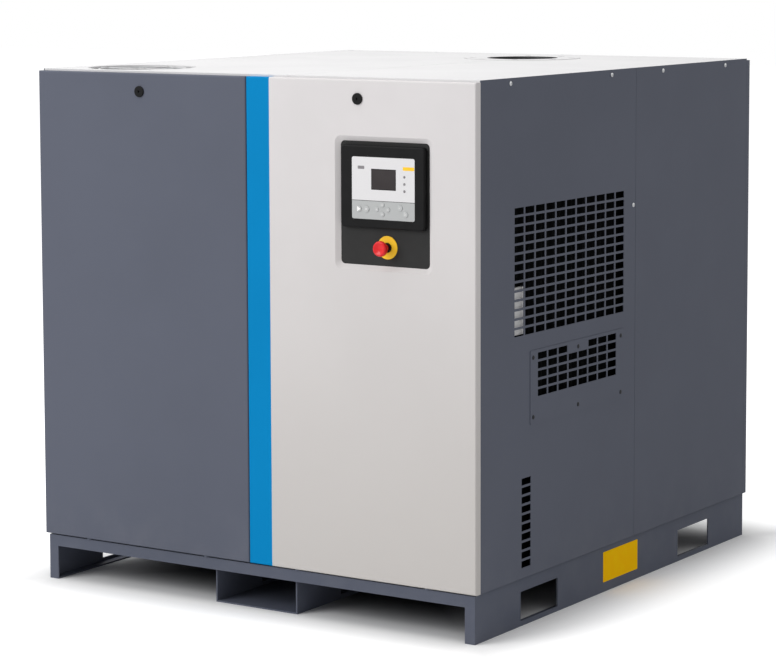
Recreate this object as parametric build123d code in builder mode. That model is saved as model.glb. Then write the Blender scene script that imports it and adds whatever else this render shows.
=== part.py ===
"""Oil-sealed rotary screw vacuum pump in a sound-insulating canopy.

Millimetres, +Z up, -Y is the operator's side and +X the service side.  The origin is on the floor, under
the middle of the machine, on the underside of the centre channel of the base.
"""

import os

from build123d import *

# ---------------------------------------------------------------- driving dimensions
WIDTH = 1412.0
DEPTH = 1560.0
HEIGHT = 1430.0

# base
BASE_HEIGHT = 125.0
BASE_INSET = 8.0
BASE_SHEET = 4.0
LEG_WIDTH = 30.0
BEAM_HEIGHT = 31.0
BEAM_DEPTH = 40.0
FORK_LENGTH = 195.0
FORK_BOTTOM = 13.0
FORK_TOP = 91.0
FORK_OFFSET = 446.0
CHANNEL_WIDTH = 267.0
CHANNEL_SETBACK = 22.0
FLOOR_SHEET = 4.0

# canopy
SHEET = 2.0
BEND = 4.0
TRAY_DEPTH = 22.5
SIDE_RETURN = 20.0
ROOF_RETURN = 29.7
PANEL_LIFT = 4.0
FRONT_TOP_DROP = 5.0
PANEL_GAP = 1.5
SEAM_GAP = 0.6
SIDE_SEAM_Y = 65.0
ROOF_SEAM_X = 120.0
FRAME_TUBE = 30.0
TUBE_WALL = 2.5
SEAT = 0.3

# locks of the front panels
LOCK_Z = 1376.0
LOCK_CAP_R = 15.0
LOCK_CAP_PROUD = 4.0
LOCK_SHAFT_R = 8.0
LOCK_CLEARANCE = 0.05
CAM_SETBACK = 28.0
CAM_THICKNESS = 3.0
CAM_HALF_LENGTH = 18.0
CAM_HALF_WIDTH = 7.0
KEEPER_GAP = 2.0
PEG_R = 4.0
PEG_COLLAR_R = 8.0
PEG_CLEARANCE = 3.0
PEG_INSET = 150.0
PEG_SETBACK = 12.0

# control recess
RECESS_X = 430.0
RECESS_Z = 1109.0
RECESS_WIDTH = 296.0
RECESS_HEIGHT = 344.0
BEVEL = 13.0
RECESS_CORNER_R = 12.0
RECESS_RIM_R = 18.0
RECESS_DEPTH = 9.0
PLATE_OVERLAP = 3.0
PLATE_GAP = 0.8
HOUSING_WIDTH = 255.0
HOUSING_HEIGHT = 211.0
HOUSING_DEPTH = 15.0
HOUSING_Z = 1152.5
FACE_WIDTH = 190.0
FACE_HEIGHT = 159.0
FACE_X = 434.0
FACE_Z = 1149.5
FACE_THICKNESS = 1.2
DISPLAY_WIDTH = 75.0
DISPLAY_HEIGHT = 53.5
DISPLAY_X = 435.5
DISPLAY_Z = 1172.8
KEY_PROUD = 1.8
KEY_LENGTH = 7.0
KEY_TRAVEL = 1.0
KEY_CLEARANCE = 0.1
KEYS = {
    "start_key": (360.0, 1095.6, 8.0),
    "stop_key": (383.5, 1095.6, 8.0),
    "left_key": (415.0, 1096.5, 6.0),
    "up_key": (432.0, 1108.5, 6.0),
    "down_key": (432.0, 1084.5, 6.0),
    "right_key": (449.0, 1096.5, 6.0),
    "enter_key": (485.6, 1103.0, 7.5),
    "escape_key": (502.0, 1087.0, 7.5),
}

# emergency stop
STOP_X = 437.0
STOP_Z = 998.0
STOP_RING_R = 30.0
STOP_RING_THICKNESS = 2.0
STOP_COLLAR_R = 13.0
STOP_COLLAR_WALL = 3.0
STOP_COLLAR_LENGTH = 6.0
STOP_PLUNGER_R = 8.0
STOP_HEAD_R = 20.0
STOP_HEAD_LENGTH = 18.0
STOP_NECK_R = 11.0
STOP_NECK_LENGTH = 10.0
HEAD_BORE_R = 5.0
STOP_TRAVEL = 6.0
STOP_CLEARANCE = 0.05

# grilles
CELL_LENGTH = 47.5
CELL_HEIGHT = 18.0
CELL_PITCH_Y = 54.05
CELL_PITCH_Z = 24.15
GRILLE_Y = -296.0
GRILLE_Z = 931.0
GRILLE_COLUMNS = 11
GRILLE_ROWS = 14
HATCH_Y = -258.0
HATCH_Z = 623.0
HATCH_LENGTH = 506.0
HATCH_HEIGHT = 194.0
HATCH_THICKNESS = 1.5
HATCH_CORNER_R = 4.0
HATCH_SCREW_INSET_Y = 15.0
HATCH_SCREW_INSET_Z = 19.0
HATCH_GRILLE_Y = -259.5
HATCH_GRILLE_Z = 654.0
VENT_Y = -529.0
VENT_Z = 274.0
SCREW_R = 6.0
SCREW_HEAD = 3.0

# roof openings
FAN_X = -508.0
FAN_Y = -570.0
FAN_HOLE_R = 150.0
DUCT_R = 140.0
DECK_MARGIN = 34.0
INLET_X = 107.0
INLET_Y = 472.0
INLET_BORE_R = 104.5
INLET_WALL = 5.0
INLET_FLANGE_R = 170.0
INLET_FLANGE_THICKNESS = 26.0
INLET_PCD = 295.0
INLET_BOLTS = 8
INLET_BOLT_R = 11.0
INLET_PROUD = 1.0
EXHAUST_X = -400.0
EXHAUST_Z = 1150.0
EXHAUST_BORE_R = 41.0
EXHAUST_WALL = 3.5
EXHAUST_FLANGE_R = 100.0
EXHAUST_FLANGE_THICKNESS = 20.0
EXHAUST_PCD = 160.0
EXHAUST_BOLTS = 8
EXHAUST_BOLT_R = 9.0
OPENING_GAP = 3.0

# drive train, along Y
AXIS_Z = 350.0
CENTRE_DISTANCE = 160.0
MOTOR_R = 150.0
MOTOR_WALL = 10.0
MOTOR_Y0 = -230.0
MOTOR_Y1 = 230.0
MOTOR_SHAFT_R = 24.0
STATOR_GAP = 1.0
MOTOR_CORE_R = 88.0
MOTOR_CORE_LENGTH = 280.0
SHIELD = 14.0
COUPLING_R = 45.0
COUPLING_Y = 300.0
COUPLING_HALF = 20.0
BELL_R = 115.0
CASE_Y0 = 330.0
CASE_Y1 = 630.0
ROTOR_Y0 = 360.0
ROTOR_LENGTH = 230.0
ROTOR_GAP = 1.0
CASE_WALL = 22.0
ROTOR_SHAFT_R = 22.0
BEARING_R = 40.0
BEARING_LENGTH = 18.0
RUNNING = 0.05
MALE_LOBES = 4
FEMALE_FLUTES = 6
LOBE_R = 30.0
FLUTE_CLEARANCE = 2.6
ROOT_CLEARANCE = 0.6
MALE_TWIST = 180.0

# oil circuit
TANK_X = -400.0
TANK_Y = 420.0
TANK_R = 190.0
TANK_WALL = 6.0
TANK_BOTTOM = 130.0
TANK_TOP = 900.0
TANK_FLANGE_R = 212.0
LID_THICKNESS = 22.0
ELEMENT_R = 100.0
DISCHARGE_R = 45.0
FILTER_R = 55.0
VALVE_SEATING = 1.0
VALVE_TOP = 700.0
VALVE_R = 120.0
VALVE_WALL = 18.0
VALVE_FLANGE_R = 150.0
VALVE_SEAT_Z = 620.0
VALVE_SEAT_R = 70.0
VALVE_DISC_R = 82.0
VALVE_DISC_THICKNESS = 8.0
VALVE_STEM_R = 8.0
GUIDE_Z = 560.0

# electrical cubicle
CUBICLE_X0 = 40.0
CUBICLE_Y1 = -460.0
CUBICLE_TOP = 1350.0

# ---------------------------------------------------------------- places worked out from them
HALF_W = WIDTH / 2
HALF_D = DEPTH / 2
FRONT = -HALF_D
PANEL_BOTTOM = BASE_HEIGHT + PANEL_LIFT
FRONT_TOP = HEIGHT - FRONT_TOP_DROP
FLOOR_TOP = BASE_HEIGHT - BEAM_HEIGHT + FLOOR_SHEET
FRAME_OUT = HALF_W - SIDE_RETURN - SEAT
FRAME_FRONT = HALF_D - TRAY_DEPTH - PANEL_GAP - 10.0
RAIL_TOP = HEIGHT - ROOF_RETURN - SEAT
RAIL_BOTTOM = RAIL_TOP - FRAME_TUBE
CUBICLE_X1 = HALF_W - BASE_INSET - LEG_WIDTH
CUBICLE_Y0 = -(FRAME_FRONT - FRAME_TUBE) + SHEET
PLATE_FRONT = FRONT + RECESS_DEPTH + PLATE_GAP
PLATE_BACK = PLATE_FRONT + SHEET
HOUSING_FRONT = PLATE_FRONT - HOUSING_DEPTH
FACE_FRONT = HOUSING_FRONT - FACE_THICKNESS
MALE_X = INLET_X + CENTRE_DISTANCE / 2
FEMALE_X = INLET_X - CENTRE_DISTANCE / 2
MALE_PITCH_R = CENTRE_DISTANCE * MALE_LOBES / (MALE_LOBES + FEMALE_FLUTES)
FEMALE_PITCH_R = CENTRE_DISTANCE - MALE_PITCH_R
VALVE_BOTTOM = AXIS_Z + FEMALE_PITCH_R + ROTOR_GAP + CASE_WALL + VALVE_SEATING
FLANGE_TOP = HEIGHT + INLET_PROUD
LOW = (Align.CENTER, Align.CENTER, Align.MIN)
ALONG_Y = (-90, 0, 0)
ALONG_X = (0, 90, 0)


def block(x0, x1, y0, y1, z0, z1, mode=Mode.ADD):
    """Add a box between two corners to the current part."""
    with Locations(((x0 + x1) / 2, (y0 + y1) / 2, (z0 + z1) / 2)):
        Box(x1 - x0, y1 - y0, z1 - z0, mode=mode)


def post(x, y, z0, z1, radius, mode=Mode.ADD):
    """Add an upright round bar."""
    with Locations((x, y, z0)):
        Cylinder(radius, z1 - z0, align=LOW, mode=mode)


def bar_y(x, y0, y1, z, radius, mode=Mode.ADD):
    """Add a round bar that runs front to rear."""
    with Locations((x, y0, z)):
        Cylinder(radius, y1 - y0, rotation=ALONG_Y, align=LOW, mode=mode)


def bar_x(x0, x1, y, z, radius, mode=Mode.ADD):
    """Add a round bar that runs left to right."""
    with Locations((x0, y, z)):
        Cylinder(radius, x1 - x0, rotation=ALONG_X, align=LOW, mode=mode)


def cell_grid(plane, y, z, columns, rows, skip=()):
    """Sketch of a grille's cells on a side wall, without the cells named in skip."""
    with BuildSketch(plane) as cells:
        for column in range(columns):
            for row in range(rows):
                if (column, row) in skip:
                    continue
                across = y + (column - (columns - 1) / 2) * CELL_PITCH_Y
                up = z - (row - (rows - 1) / 2) * CELL_PITCH_Z
                with Locations((across, up)):
                    Rectangle(CELL_LENGTH, CELL_HEIGHT)
    return cells.sketch


def tube_block(x0, x1, y0, y1, z0, z1, axis):
    """Add a square tube along one axis, open at both ends."""
    wall = TUBE_WALL
    block(x0, x1, y0, y1, z0, z1)
    if axis == "x":
        block(x0, x1, y0 + wall, y1 - wall, z0 + wall, z1 - wall, Mode.SUBTRACT)
    elif axis == "y":
        block(x0 + wall, x1 - wall, y0, y1, z0 + wall, z1 - wall, Mode.SUBTRACT)
    else:
        block(x0 + wall, x1 - wall, y0 + wall, y1 - wall, z0, z1, Mode.SUBTRACT)


os.makedirs("parts", exist_ok=True)

# ---------------------------------------------------------------- base
SKIRT_OUT = HALF_W - BASE_INSET
SKIRT_END = HALF_D - BASE_INSET
for side, name in ((-1, "left_base_skirt"), (1, "right_base_skirt")):
    outer = side * SKIRT_OUT
    inner = side * (SKIRT_OUT - LEG_WIDTH)
    x0 = min(outer, inner)
    x1 = max(outer, inner)
    with BuildPart() as base_skirt:
        block(x0, x1, -SKIRT_END, SKIRT_END, 0, BASE_HEIGHT)
        hollow0 = x0 + BASE_SHEET if side < 0 else x0
        hollow1 = x1 if side < 0 else x1 - BASE_SHEET
        block(hollow0, hollow1, -SKIRT_END + BASE_SHEET, SKIRT_END - BASE_SHEET, BASE_SHEET,
              BASE_HEIGHT - BASE_SHEET, Mode.SUBTRACT)
        for fork_y in (-FORK_OFFSET, FORK_OFFSET):
            block(x0 - 1, x1 + 1, fork_y - FORK_LENGTH / 2, fork_y + FORK_LENGTH / 2, FORK_BOTTOM,
                  FORK_TOP, Mode.SUBTRACT)
    base_skirt.part.label = name
    export_step(base_skirt.part, f"parts/{name}.step")

BEAM_END = SKIRT_OUT - LEG_WIDTH
BEAM_BOTTOM = BASE_HEIGHT - BEAM_HEIGHT
with BuildPart() as base_cross_beams:
    tube_block(-BEAM_END, BEAM_END, -SKIRT_END, -SKIRT_END + BEAM_DEPTH, BEAM_BOTTOM, BASE_HEIGHT, "x")
    tube_block(-BEAM_END, BEAM_END, SKIRT_END - BEAM_DEPTH, SKIRT_END, BEAM_BOTTOM, BASE_HEIGHT, "x")
    for panel_side in (-1, 1):
        for peg_side in (-1, 1):
            peg_x = panel_side * HALF_W / 2 + peg_side * (HALF_W / 2 - PEG_INSET)
            post(peg_x, FRONT + PEG_SETBACK, BASE_HEIGHT, PANEL_BOTTOM - SEAT, PEG_COLLAR_R)
            post(peg_x, FRONT + PEG_SETBACK, BASE_HEIGHT, PANEL_BOTTOM + SHEET + PEG_R, PEG_R)
base_cross_beams.part.label = "base_cross_beams"
export_step(base_cross_beams.part, "parts/base_cross_beams.step")

CHANNEL_END = SKIRT_END - CHANNEL_SETBACK
with BuildPart() as centre_fork_channel:
    half = CHANNEL_WIDTH / 2
    block(-half, half, -CHANNEL_END, CHANNEL_END, 0, BEAM_BOTTOM)
    block(-half + BASE_SHEET, half - BASE_SHEET, -CHANNEL_END - 1, CHANNEL_END + 1, BASE_SHEET,
          BEAM_BOTTOM - BASE_SHEET, Mode.SUBTRACT)
    for fork_y in (-FORK_OFFSET, FORK_OFFSET):
        block(-half - 1, half + 1, fork_y - FORK_LENGTH / 2, fork_y + FORK_LENGTH / 2, FORK_BOTTOM,
              BEAM_BOTTOM - BASE_SHEET, Mode.SUBTRACT)
centre_fork_channel.part.label = "centre_fork_channel"
export_step(centre_fork_channel.part, "parts/centre_fork_channel.step")

with BuildPart() as floor_plate:
    floor_x = SKIRT_OUT - BASE_SHEET - SEAT
    floor_y = SKIRT_END - BEAM_DEPTH - SEAT
    block(-floor_x, floor_x, -floor_y, floor_y, BEAM_BOTTOM, FLOOR_TOP)
floor_plate.part.label = "floor_plate"
export_step(floor_plate.part, "parts/floor_plate.step")

# ---------------------------------------------------------------- frame of the canopy
POST_X = FRAME_OUT - FRAME_TUBE
POST_Y = FRAME_FRONT - FRAME_TUBE
with BuildPart() as frame_posts:
    for sign_y in (-1, 1):
        y_low = min(sign_y * FRAME_FRONT, sign_y * POST_Y)
        tube_block(-FRAME_TUBE / 2, FRAME_TUBE / 2, y_low, y_low + FRAME_TUBE, BASE_HEIGHT, RAIL_BOTTOM, "z")
        tube_block(-FRAME_OUT, -POST_X, y_low, y_low + FRAME_TUBE, BASE_HEIGHT, RAIL_BOTTOM, "z")
        tube_block(POST_X, FRAME_OUT, y_low, y_low + FRAME_TUBE, BASE_HEIGHT, RAIL_BOTTOM, "z")
frame_posts.part.label = "frame_posts"
export_step(frame_posts.part, "parts/frame_posts.step")

KEEPER_Z = LOCK_Z + CAM_HALF_WIDTH + KEEPER_GAP
KEEPER_FRONT = FRONT + CAM_SETBACK - KEEPER_GAP - SHEET
SPUR_END = INLET_Y - INLET_FLANGE_R - FRAME_TUBE
with BuildPart() as top_rails:
    for sign_y in (-1, 1):
        y_low = min(sign_y * FRAME_FRONT, sign_y * POST_Y)
        tube_block(-FRAME_OUT, FRAME_OUT, y_low, y_low + FRAME_TUBE, RAIL_BOTTOM, RAIL_TOP, "x")
    tube_block(-FRAME_OUT, -POST_X, -POST_Y, POST_Y, RAIL_BOTTOM, RAIL_TOP, "y")
    tube_block(POST_X, FRAME_OUT, -POST_Y, POST_Y, RAIL_BOTTOM, RAIL_TOP, "y")
    tube_block(-POST_X, POST_X, SPUR_END, SPUR_END + FRAME_TUBE, RAIL_BOTTOM, RAIL_TOP, "x")
    tube_block(ROOF_SEAM_X - FRAME_TUBE / 2, ROOF_SEAM_X + FRAME_TUBE / 2, -POST_Y, SPUR_END, RAIL_BOTTOM,
               RAIL_TOP, "y")
    for lock_x in (-HALF_W / 2, HALF_W / 2):
        block(lock_x - 20, lock_x + 20, KEEPER_FRONT, KEEPER_FRONT + SHEET, KEEPER_Z, RAIL_TOP)
        block(lock_x - 20, lock_x + 20, KEEPER_FRONT, -FRAME_FRONT, RAIL_TOP - SHEET, RAIL_TOP)
top_rails.part.label = "top_rails"
export_step(top_rails.part, "parts/top_rails.step")

# ---------------------------------------------------------------- fixed panels
SIDE_Y0 = FRONT + TRAY_DEPTH + SEAM_GAP
SIDE_Y1 = HALF_D - TRAY_DEPTH - SEAM_GAP


def side_tray(side, y0, y1):
    """Add a side panel between y0 and y1, with returns on its front, rear and lower edges."""
    outer = side * HALF_W
    inner = side * (HALF_W - SIDE_RETURN)
    skin = side * (HALF_W - SHEET)
    block(min(outer, inner), max(outer, inner), y0, y1, PANEL_BOTTOM, HEIGHT)
    block(min(skin, inner - side), max(skin, inner - side), y0 + SHEET, y1 - SHEET, PANEL_BOTTOM + SHEET,
          HEIGHT + 1, Mode.SUBTRACT)
    block(min(skin, inner - side), max(skin, inner - side), y0 - 1, y1 + 1, RAIL_TOP, HEIGHT + 1, Mode.SUBTRACT)


WALL_CUT = 3 * SHEET
with BuildPart() as right_side_front_panel:
    side_tray(1, SIDE_Y0, SIDE_SEAM_Y - SEAM_GAP)
    side_plane = Plane.YZ.offset(HALF_W + 1)
    extrude(cell_grid(side_plane, GRILLE_Y, GRILLE_Z, GRILLE_COLUMNS, GRILLE_ROWS), -WALL_CUT,
            mode=Mode.SUBTRACT)
    extrude(cell_grid(side_plane, VENT_Y, VENT_Z, 1, 10), -WALL_CUT, mode=Mode.SUBTRACT)
    block(HALF_W - WALL_CUT, HALF_W + 1, HATCH_GRILLE_Y - 4.2 * CELL_PITCH_Y, HATCH_GRILLE_Y + 4.2 * CELL_PITCH_Y,
          HATCH_GRILLE_Z - 2.7 * CELL_PITCH_Z, HATCH_GRILLE_Z + 2.6 * CELL_PITCH_Z, Mode.SUBTRACT)
right_side_front_panel.part.label = "right_side_front_panel"
export_step(right_side_front_panel.part, "parts/right_side_front_panel.step")

with BuildPart() as right_side_grille_plate:
    block(HALF_W, HALF_W + HATCH_THICKNESS, HATCH_Y - HATCH_LENGTH / 2, HATCH_Y + HATCH_LENGTH / 2,
          HATCH_Z - HATCH_HEIGHT / 2, HATCH_Z + HATCH_HEIGHT / 2)
    fillet(right_side_grille_plate.edges().filter_by(Axis.X), HATCH_CORNER_R)
    hatch_plane = Plane.YZ.offset(HALF_W + HATCH_THICKNESS + 1)
    extrude(cell_grid(hatch_plane, HATCH_GRILLE_Y, HATCH_GRILLE_Z, 8, 5, ((3, 0), (4, 0))), -WALL_CUT,
            mode=Mode.SUBTRACT)
right_side_grille_plate.part.label = "right_side_grille_plate"
export_step(right_side_grille_plate.part, "parts/right_side_grille_plate.step")

with BuildPart() as left_side_front_panel:
    side_tray(-1, SIDE_Y0, SIDE_SEAM_Y - SEAM_GAP)
    left_plane = Plane.YZ.offset(-HALF_W - 1)
    extrude(cell_grid(left_plane, GRILLE_Y, GRILLE_Z, GRILLE_COLUMNS, GRILLE_ROWS), WALL_CUT,
            mode=Mode.SUBTRACT)
left_side_front_panel.part.label = "left_side_front_panel"
export_step(left_side_front_panel.part, "parts/left_side_front_panel.step")

for side, name in ((-1, "left_side_rear_panel"), (1, "right_side_rear_panel")):
    with BuildPart() as side_rear_panel:
        side_tray(side, SIDE_SEAM_Y + SEAM_GAP, SIDE_Y1)
    side_rear_panel.part.label = name
    export_step(side_rear_panel.part, f"parts/{name}.step")

for side, name in ((-1, "rear_left_panel"), (1, "rear_right_panel")):
    near = side * PANEL_GAP / 2
    far = side * HALF_W
    with BuildPart() as rear_panel:
        block(min(near, far), max(near, far), HALF_D - TRAY_DEPTH, HALF_D, PANEL_BOTTOM, FRONT_TOP)
        rear_edges = rear_panel.faces().sort_by(Axis.Y)[-1].edges()
        fillet(rear_edges, BEND)
        block(min(near, far) + SHEET, max(near, far) - SHEET, HALF_D - TRAY_DEPTH - 1, HALF_D - SHEET,
              PANEL_BOTTOM + SHEET, FRONT_TOP - SHEET, Mode.SUBTRACT)
        if side < 0:
            bar_y(EXHAUST_X, HALF_D - TRAY_DEPTH, HALF_D + 1, EXHAUST_Z, EXHAUST_FLANGE_R + OPENING_GAP,
                  Mode.SUBTRACT)
        else:
            with BuildSketch(Plane.XZ.offset(-HALF_D - 1)):
                with GridLocations(CELL_PITCH_Y, CELL_PITCH_Z, 8, 10):
                    with Locations((HALF_W / 2, GRILLE_Z)):
                        Rectangle(CELL_LENGTH, CELL_HEIGHT)
            extrude(amount=WALL_CUT, mode=Mode.SUBTRACT)
    rear_panel.part.label = name
    export_step(rear_panel.part, f"parts/{name}.step")

ROOF_X = HALF_W - SHEET - SEAT
ROOF_Y = HALF_D - TRAY_DEPTH - PANEL_GAP
for side, name in ((-1, "left_roof_panel"), (1, "right_roof_panel")):
    seam = ROOF_SEAM_X + side * PANEL_GAP / 2
    edge = side * ROOF_X
    with BuildPart() as roof_panel:
        block(min(seam, edge), max(seam, edge), -ROOF_Y, ROOF_Y, HEIGHT - ROOF_RETURN, HEIGHT)
        block(min(seam, edge) + SHEET, max(seam, edge) - SHEET, -ROOF_Y + SHEET, ROOF_Y - SHEET,
              HEIGHT - ROOF_RETURN - 1, HEIGHT - SHEET, Mode.SUBTRACT)
        post(INLET_X, INLET_Y, HEIGHT - ROOF_RETURN - 1, HEIGHT + 1, INLET_FLANGE_R + OPENING_GAP,
             Mode.SUBTRACT)
        if side < 0:
            post(FAN_X, FAN_Y, HEIGHT - ROOF_RETURN, HEIGHT + 1, FAN_HOLE_R, Mode.SUBTRACT)
    roof_panel.part.label = name
    export_step(roof_panel.part, f"parts/{name}.step")

GUARD_TOP = HEIGHT - SHEET - SEAT
GUARD_BAR = 3.0
GUARD_RINGS = (30.0, 60.0, 90.0, 120.0)
with BuildPart() as fan_guard:
    with BuildSketch(Plane.XY.offset(GUARD_TOP - GUARD_BAR)):
        with Locations((FAN_X, FAN_Y)):
            Circle(FAN_HOLE_R + 15)
            Circle(FAN_HOLE_R - GUARD_BAR, mode=Mode.SUBTRACT)
            for ring_r in GUARD_RINGS:
                Circle(ring_r + GUARD_BAR / 2)
                Circle(ring_r - GUARD_BAR / 2, mode=Mode.SUBTRACT)
            with PolarLocations(0, 4):
                Rectangle(2 * FAN_HOLE_R, GUARD_BAR)
            Circle(GUARD_RINGS[0] / 2)
    extrude(amount=GUARD_BAR)
fan_guard.part.label = "fan_guard"
export_step(fan_guard.part, "parts/fan_guard.step")

SCREW_Z = HEIGHT - 14.0
SIDE_SCREWS = ((-611.0, SCREW_Z), (-75.0, SCREW_Z), (223.0, SCREW_Z), (613.0, SCREW_Z))
with BuildPart() as panel_screws:
    for screw_y, screw_z in SIDE_SCREWS:
        bar_x(HALF_W, HALF_W + SCREW_HEAD, screw_y, screw_z, SCREW_R)
        bar_x(-HALF_W - SCREW_HEAD, -HALF_W, screw_y, screw_z, SCREW_R)
    bar_x(HALF_W, HALF_W + SCREW_HEAD, SIDE_SEAM_Y - 14, 1054.0, SCREW_R)
    with Locations(Location((HALF_W + HATCH_THICKNESS, HATCH_Y, HATCH_Z), ALONG_X)):
        with GridLocations(HATCH_HEIGHT - 2 * HATCH_SCREW_INSET_Z, HATCH_LENGTH / 2 - HATCH_SCREW_INSET_Y, 2, 3):
            Cylinder(SCREW_R, SCREW_HEAD - HATCH_THICKNESS, align=LOW)
panel_screws.part.label = "panel_screws"
export_step(panel_screws.part, "parts/panel_screws.step")

# ---------------------------------------------------------------- front panels and locks
for side, name in ((-1, "left_front_panel"), (1, "right_front_panel")):
    near = side * PANEL_GAP / 2
    far = side * HALF_W
    lock_x = side * HALF_W / 2
    with BuildPart() as front_panel:
        block(min(near, far), max(near, far), FRONT, FRONT + TRAY_DEPTH, PANEL_BOTTOM, FRONT_TOP)
        front_edges = front_panel.faces().sort_by(Axis.Y)[0].edges()
        fillet(front_edges, BEND)
        block(min(near, far) + SHEET, max(near, far) - SHEET, FRONT + SHEET, FRONT + TRAY_DEPTH + 1,
              PANEL_BOTTOM + SHEET, FRONT_TOP - SHEET, Mode.SUBTRACT)
        if side > 0:
            with BuildSketch(Plane.XZ.offset(HALF_D - SHEET)):
                with Locations((RECESS_X, RECESS_Z)):
                    RectangleRounded(RECESS_WIDTH + 2 * SHEET, RECESS_HEIGHT + 2 * SHEET, RECESS_RIM_R + SHEET)
            with BuildSketch(Plane.XZ.offset(HALF_D - RECESS_DEPTH)):
                with Locations((RECESS_X, RECESS_Z)):
                    RectangleRounded(RECESS_WIDTH - 2 * BEVEL + 2 * SHEET, RECESS_HEIGHT - 2 * BEVEL + 2 * SHEET,
                                     RECESS_CORNER_R + SHEET)
            loft()
            with BuildSketch(Plane.XZ.offset(HALF_D)):
                with Locations((RECESS_X, RECESS_Z)):
                    RectangleRounded(RECESS_WIDTH, RECESS_HEIGHT, RECESS_RIM_R)
            with BuildSketch(Plane.XZ.offset(HALF_D - RECESS_DEPTH)):
                with Locations((RECESS_X, RECESS_Z)):
                    RectangleRounded(RECESS_WIDTH - 2 * BEVEL, RECESS_HEIGHT - 2 * BEVEL, RECESS_CORNER_R)
            loft(mode=Mode.SUBTRACT)
        bar_y(lock_x, FRONT - 1, FRONT + WALL_CUT, LOCK_Z, LOCK_SHAFT_R + LOCK_CLEARANCE, Mode.SUBTRACT)
        for peg_side in (-1, 1):
            peg_x = side * HALF_W / 2 + peg_side * (HALF_W / 2 - PEG_INSET)
            post(peg_x, FRONT + PEG_SETBACK, PANEL_BOTTOM - 1, PANEL_BOTTOM + WALL_CUT, PEG_R + PEG_CLEARANCE,
                 Mode.SUBTRACT)
    front_panel.part.label = name
    export_step(front_panel.part, f"parts/{name}.step")

    with BuildPart() as panel_lock:
        bar_y(lock_x, FRONT - LOCK_CAP_PROUD, FRONT - SEAT, LOCK_Z, LOCK_CAP_R)
        fillet(panel_lock.faces().sort_by(Axis.Y)[0].edges(), 1.0)
        bar_y(lock_x, FRONT - SEAT, FRONT + CAM_SETBACK, LOCK_Z, LOCK_SHAFT_R)
        block(lock_x - CAM_HALF_LENGTH, lock_x + CAM_HALF_LENGTH, FRONT + CAM_SETBACK,
              FRONT + CAM_SETBACK + CAM_THICKNESS, LOCK_Z - CAM_HALF_WIDTH, LOCK_Z + CAM_HALF_WIDTH)
        with BuildSketch(Plane.XZ.offset(HALF_D + LOCK_CAP_PROUD)):
            with Locations((lock_x, LOCK_Z)):
                RegularPolygon(5.0, 3)
        extrude(amount=-3.0, mode=Mode.SUBTRACT)
    lock_name = name.replace("front_panel", "lock")
    panel_lock.part.label = lock_name
    export_step(panel_lock.part, f"parts/{lock_name}.step")

# ---------------------------------------------------------------- control recess
PLATE_HALF_W = RECESS_WIDTH / 2 - BEVEL + PLATE_OVERLAP
PLATE_HALF_H = RECESS_HEIGHT / 2 - BEVEL + PLATE_OVERLAP
with BuildPart() as control_plate:
    block(RECESS_X - PLATE_HALF_W, RECESS_X + PLATE_HALF_W, PLATE_FRONT, PLATE_BACK, RECESS_Z - PLATE_HALF_H,
          RECESS_Z + PLATE_HALF_H)
    bar_y(STOP_X, PLATE_FRONT - 1, PLATE_BACK + 1, STOP_Z, STOP_COLLAR_R - STOP_COLLAR_WALL, Mode.SUBTRACT)
control_plate.part.label = "control_plate"
export_step(control_plate.part, "parts/control_plate.step")

with BuildPart() as control_box:
    block(RECESS_X - PLATE_HALF_W, RECESS_X + PLATE_HALF_W, PLATE_BACK, CUBICLE_Y0, RECESS_Z - PLATE_HALF_H,
          RECESS_Z + PLATE_HALF_H)
    block(RECESS_X - PLATE_HALF_W + SHEET, RECESS_X + PLATE_HALF_W - SHEET, PLATE_BACK - 1, CUBICLE_Y0 - SHEET,
          RECESS_Z - PLATE_HALF_H + SHEET, RECESS_Z + PLATE_HALF_H - SHEET, Mode.SUBTRACT)
control_box.part.label = "control_box"
export_step(control_box.part, "parts/control_box.step")

with BuildPart() as electrical_cubicle:
    block(CUBICLE_X0, CUBICLE_X1, CUBICLE_Y0, CUBICLE_Y1, FLOOR_TOP, CUBICLE_TOP)
    block(CUBICLE_X0 + SHEET, CUBICLE_X1 - SHEET, CUBICLE_Y0 + SHEET, CUBICLE_Y1 - SHEET, FLOOR_TOP + SHEET,
          CUBICLE_TOP - SHEET, Mode.SUBTRACT)
electrical_cubicle.part.label = "electrical_cubicle"
export_step(electrical_cubicle.part, "parts/electrical_cubicle.step")

with BuildPart() as controller_housing:
    block(RECESS_X - HOUSING_WIDTH / 2, RECESS_X + HOUSING_WIDTH / 2, HOUSING_FRONT, PLATE_FRONT,
          HOUSING_Z - HOUSING_HEIGHT / 2, HOUSING_Z + HOUSING_HEIGHT / 2)
    fillet(controller_housing.edges().filter_by(Axis.Y), 10.0)
    fillet(controller_housing.faces().sort_by(Axis.Y)[0].edges(), 4.0)
    for key_x, key_z, key_r in KEYS.values():
        key_back = FACE_FRONT - KEY_PROUD + KEY_LENGTH + KEY_TRAVEL + SEAT
        bar_y(key_x, HOUSING_FRONT - 1, key_back, key_z, key_r + KEY_CLEARANCE, Mode.SUBTRACT)
controller_housing.part.label = "controller_housing"
export_step(controller_housing.part, "parts/controller_housing.step")

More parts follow.
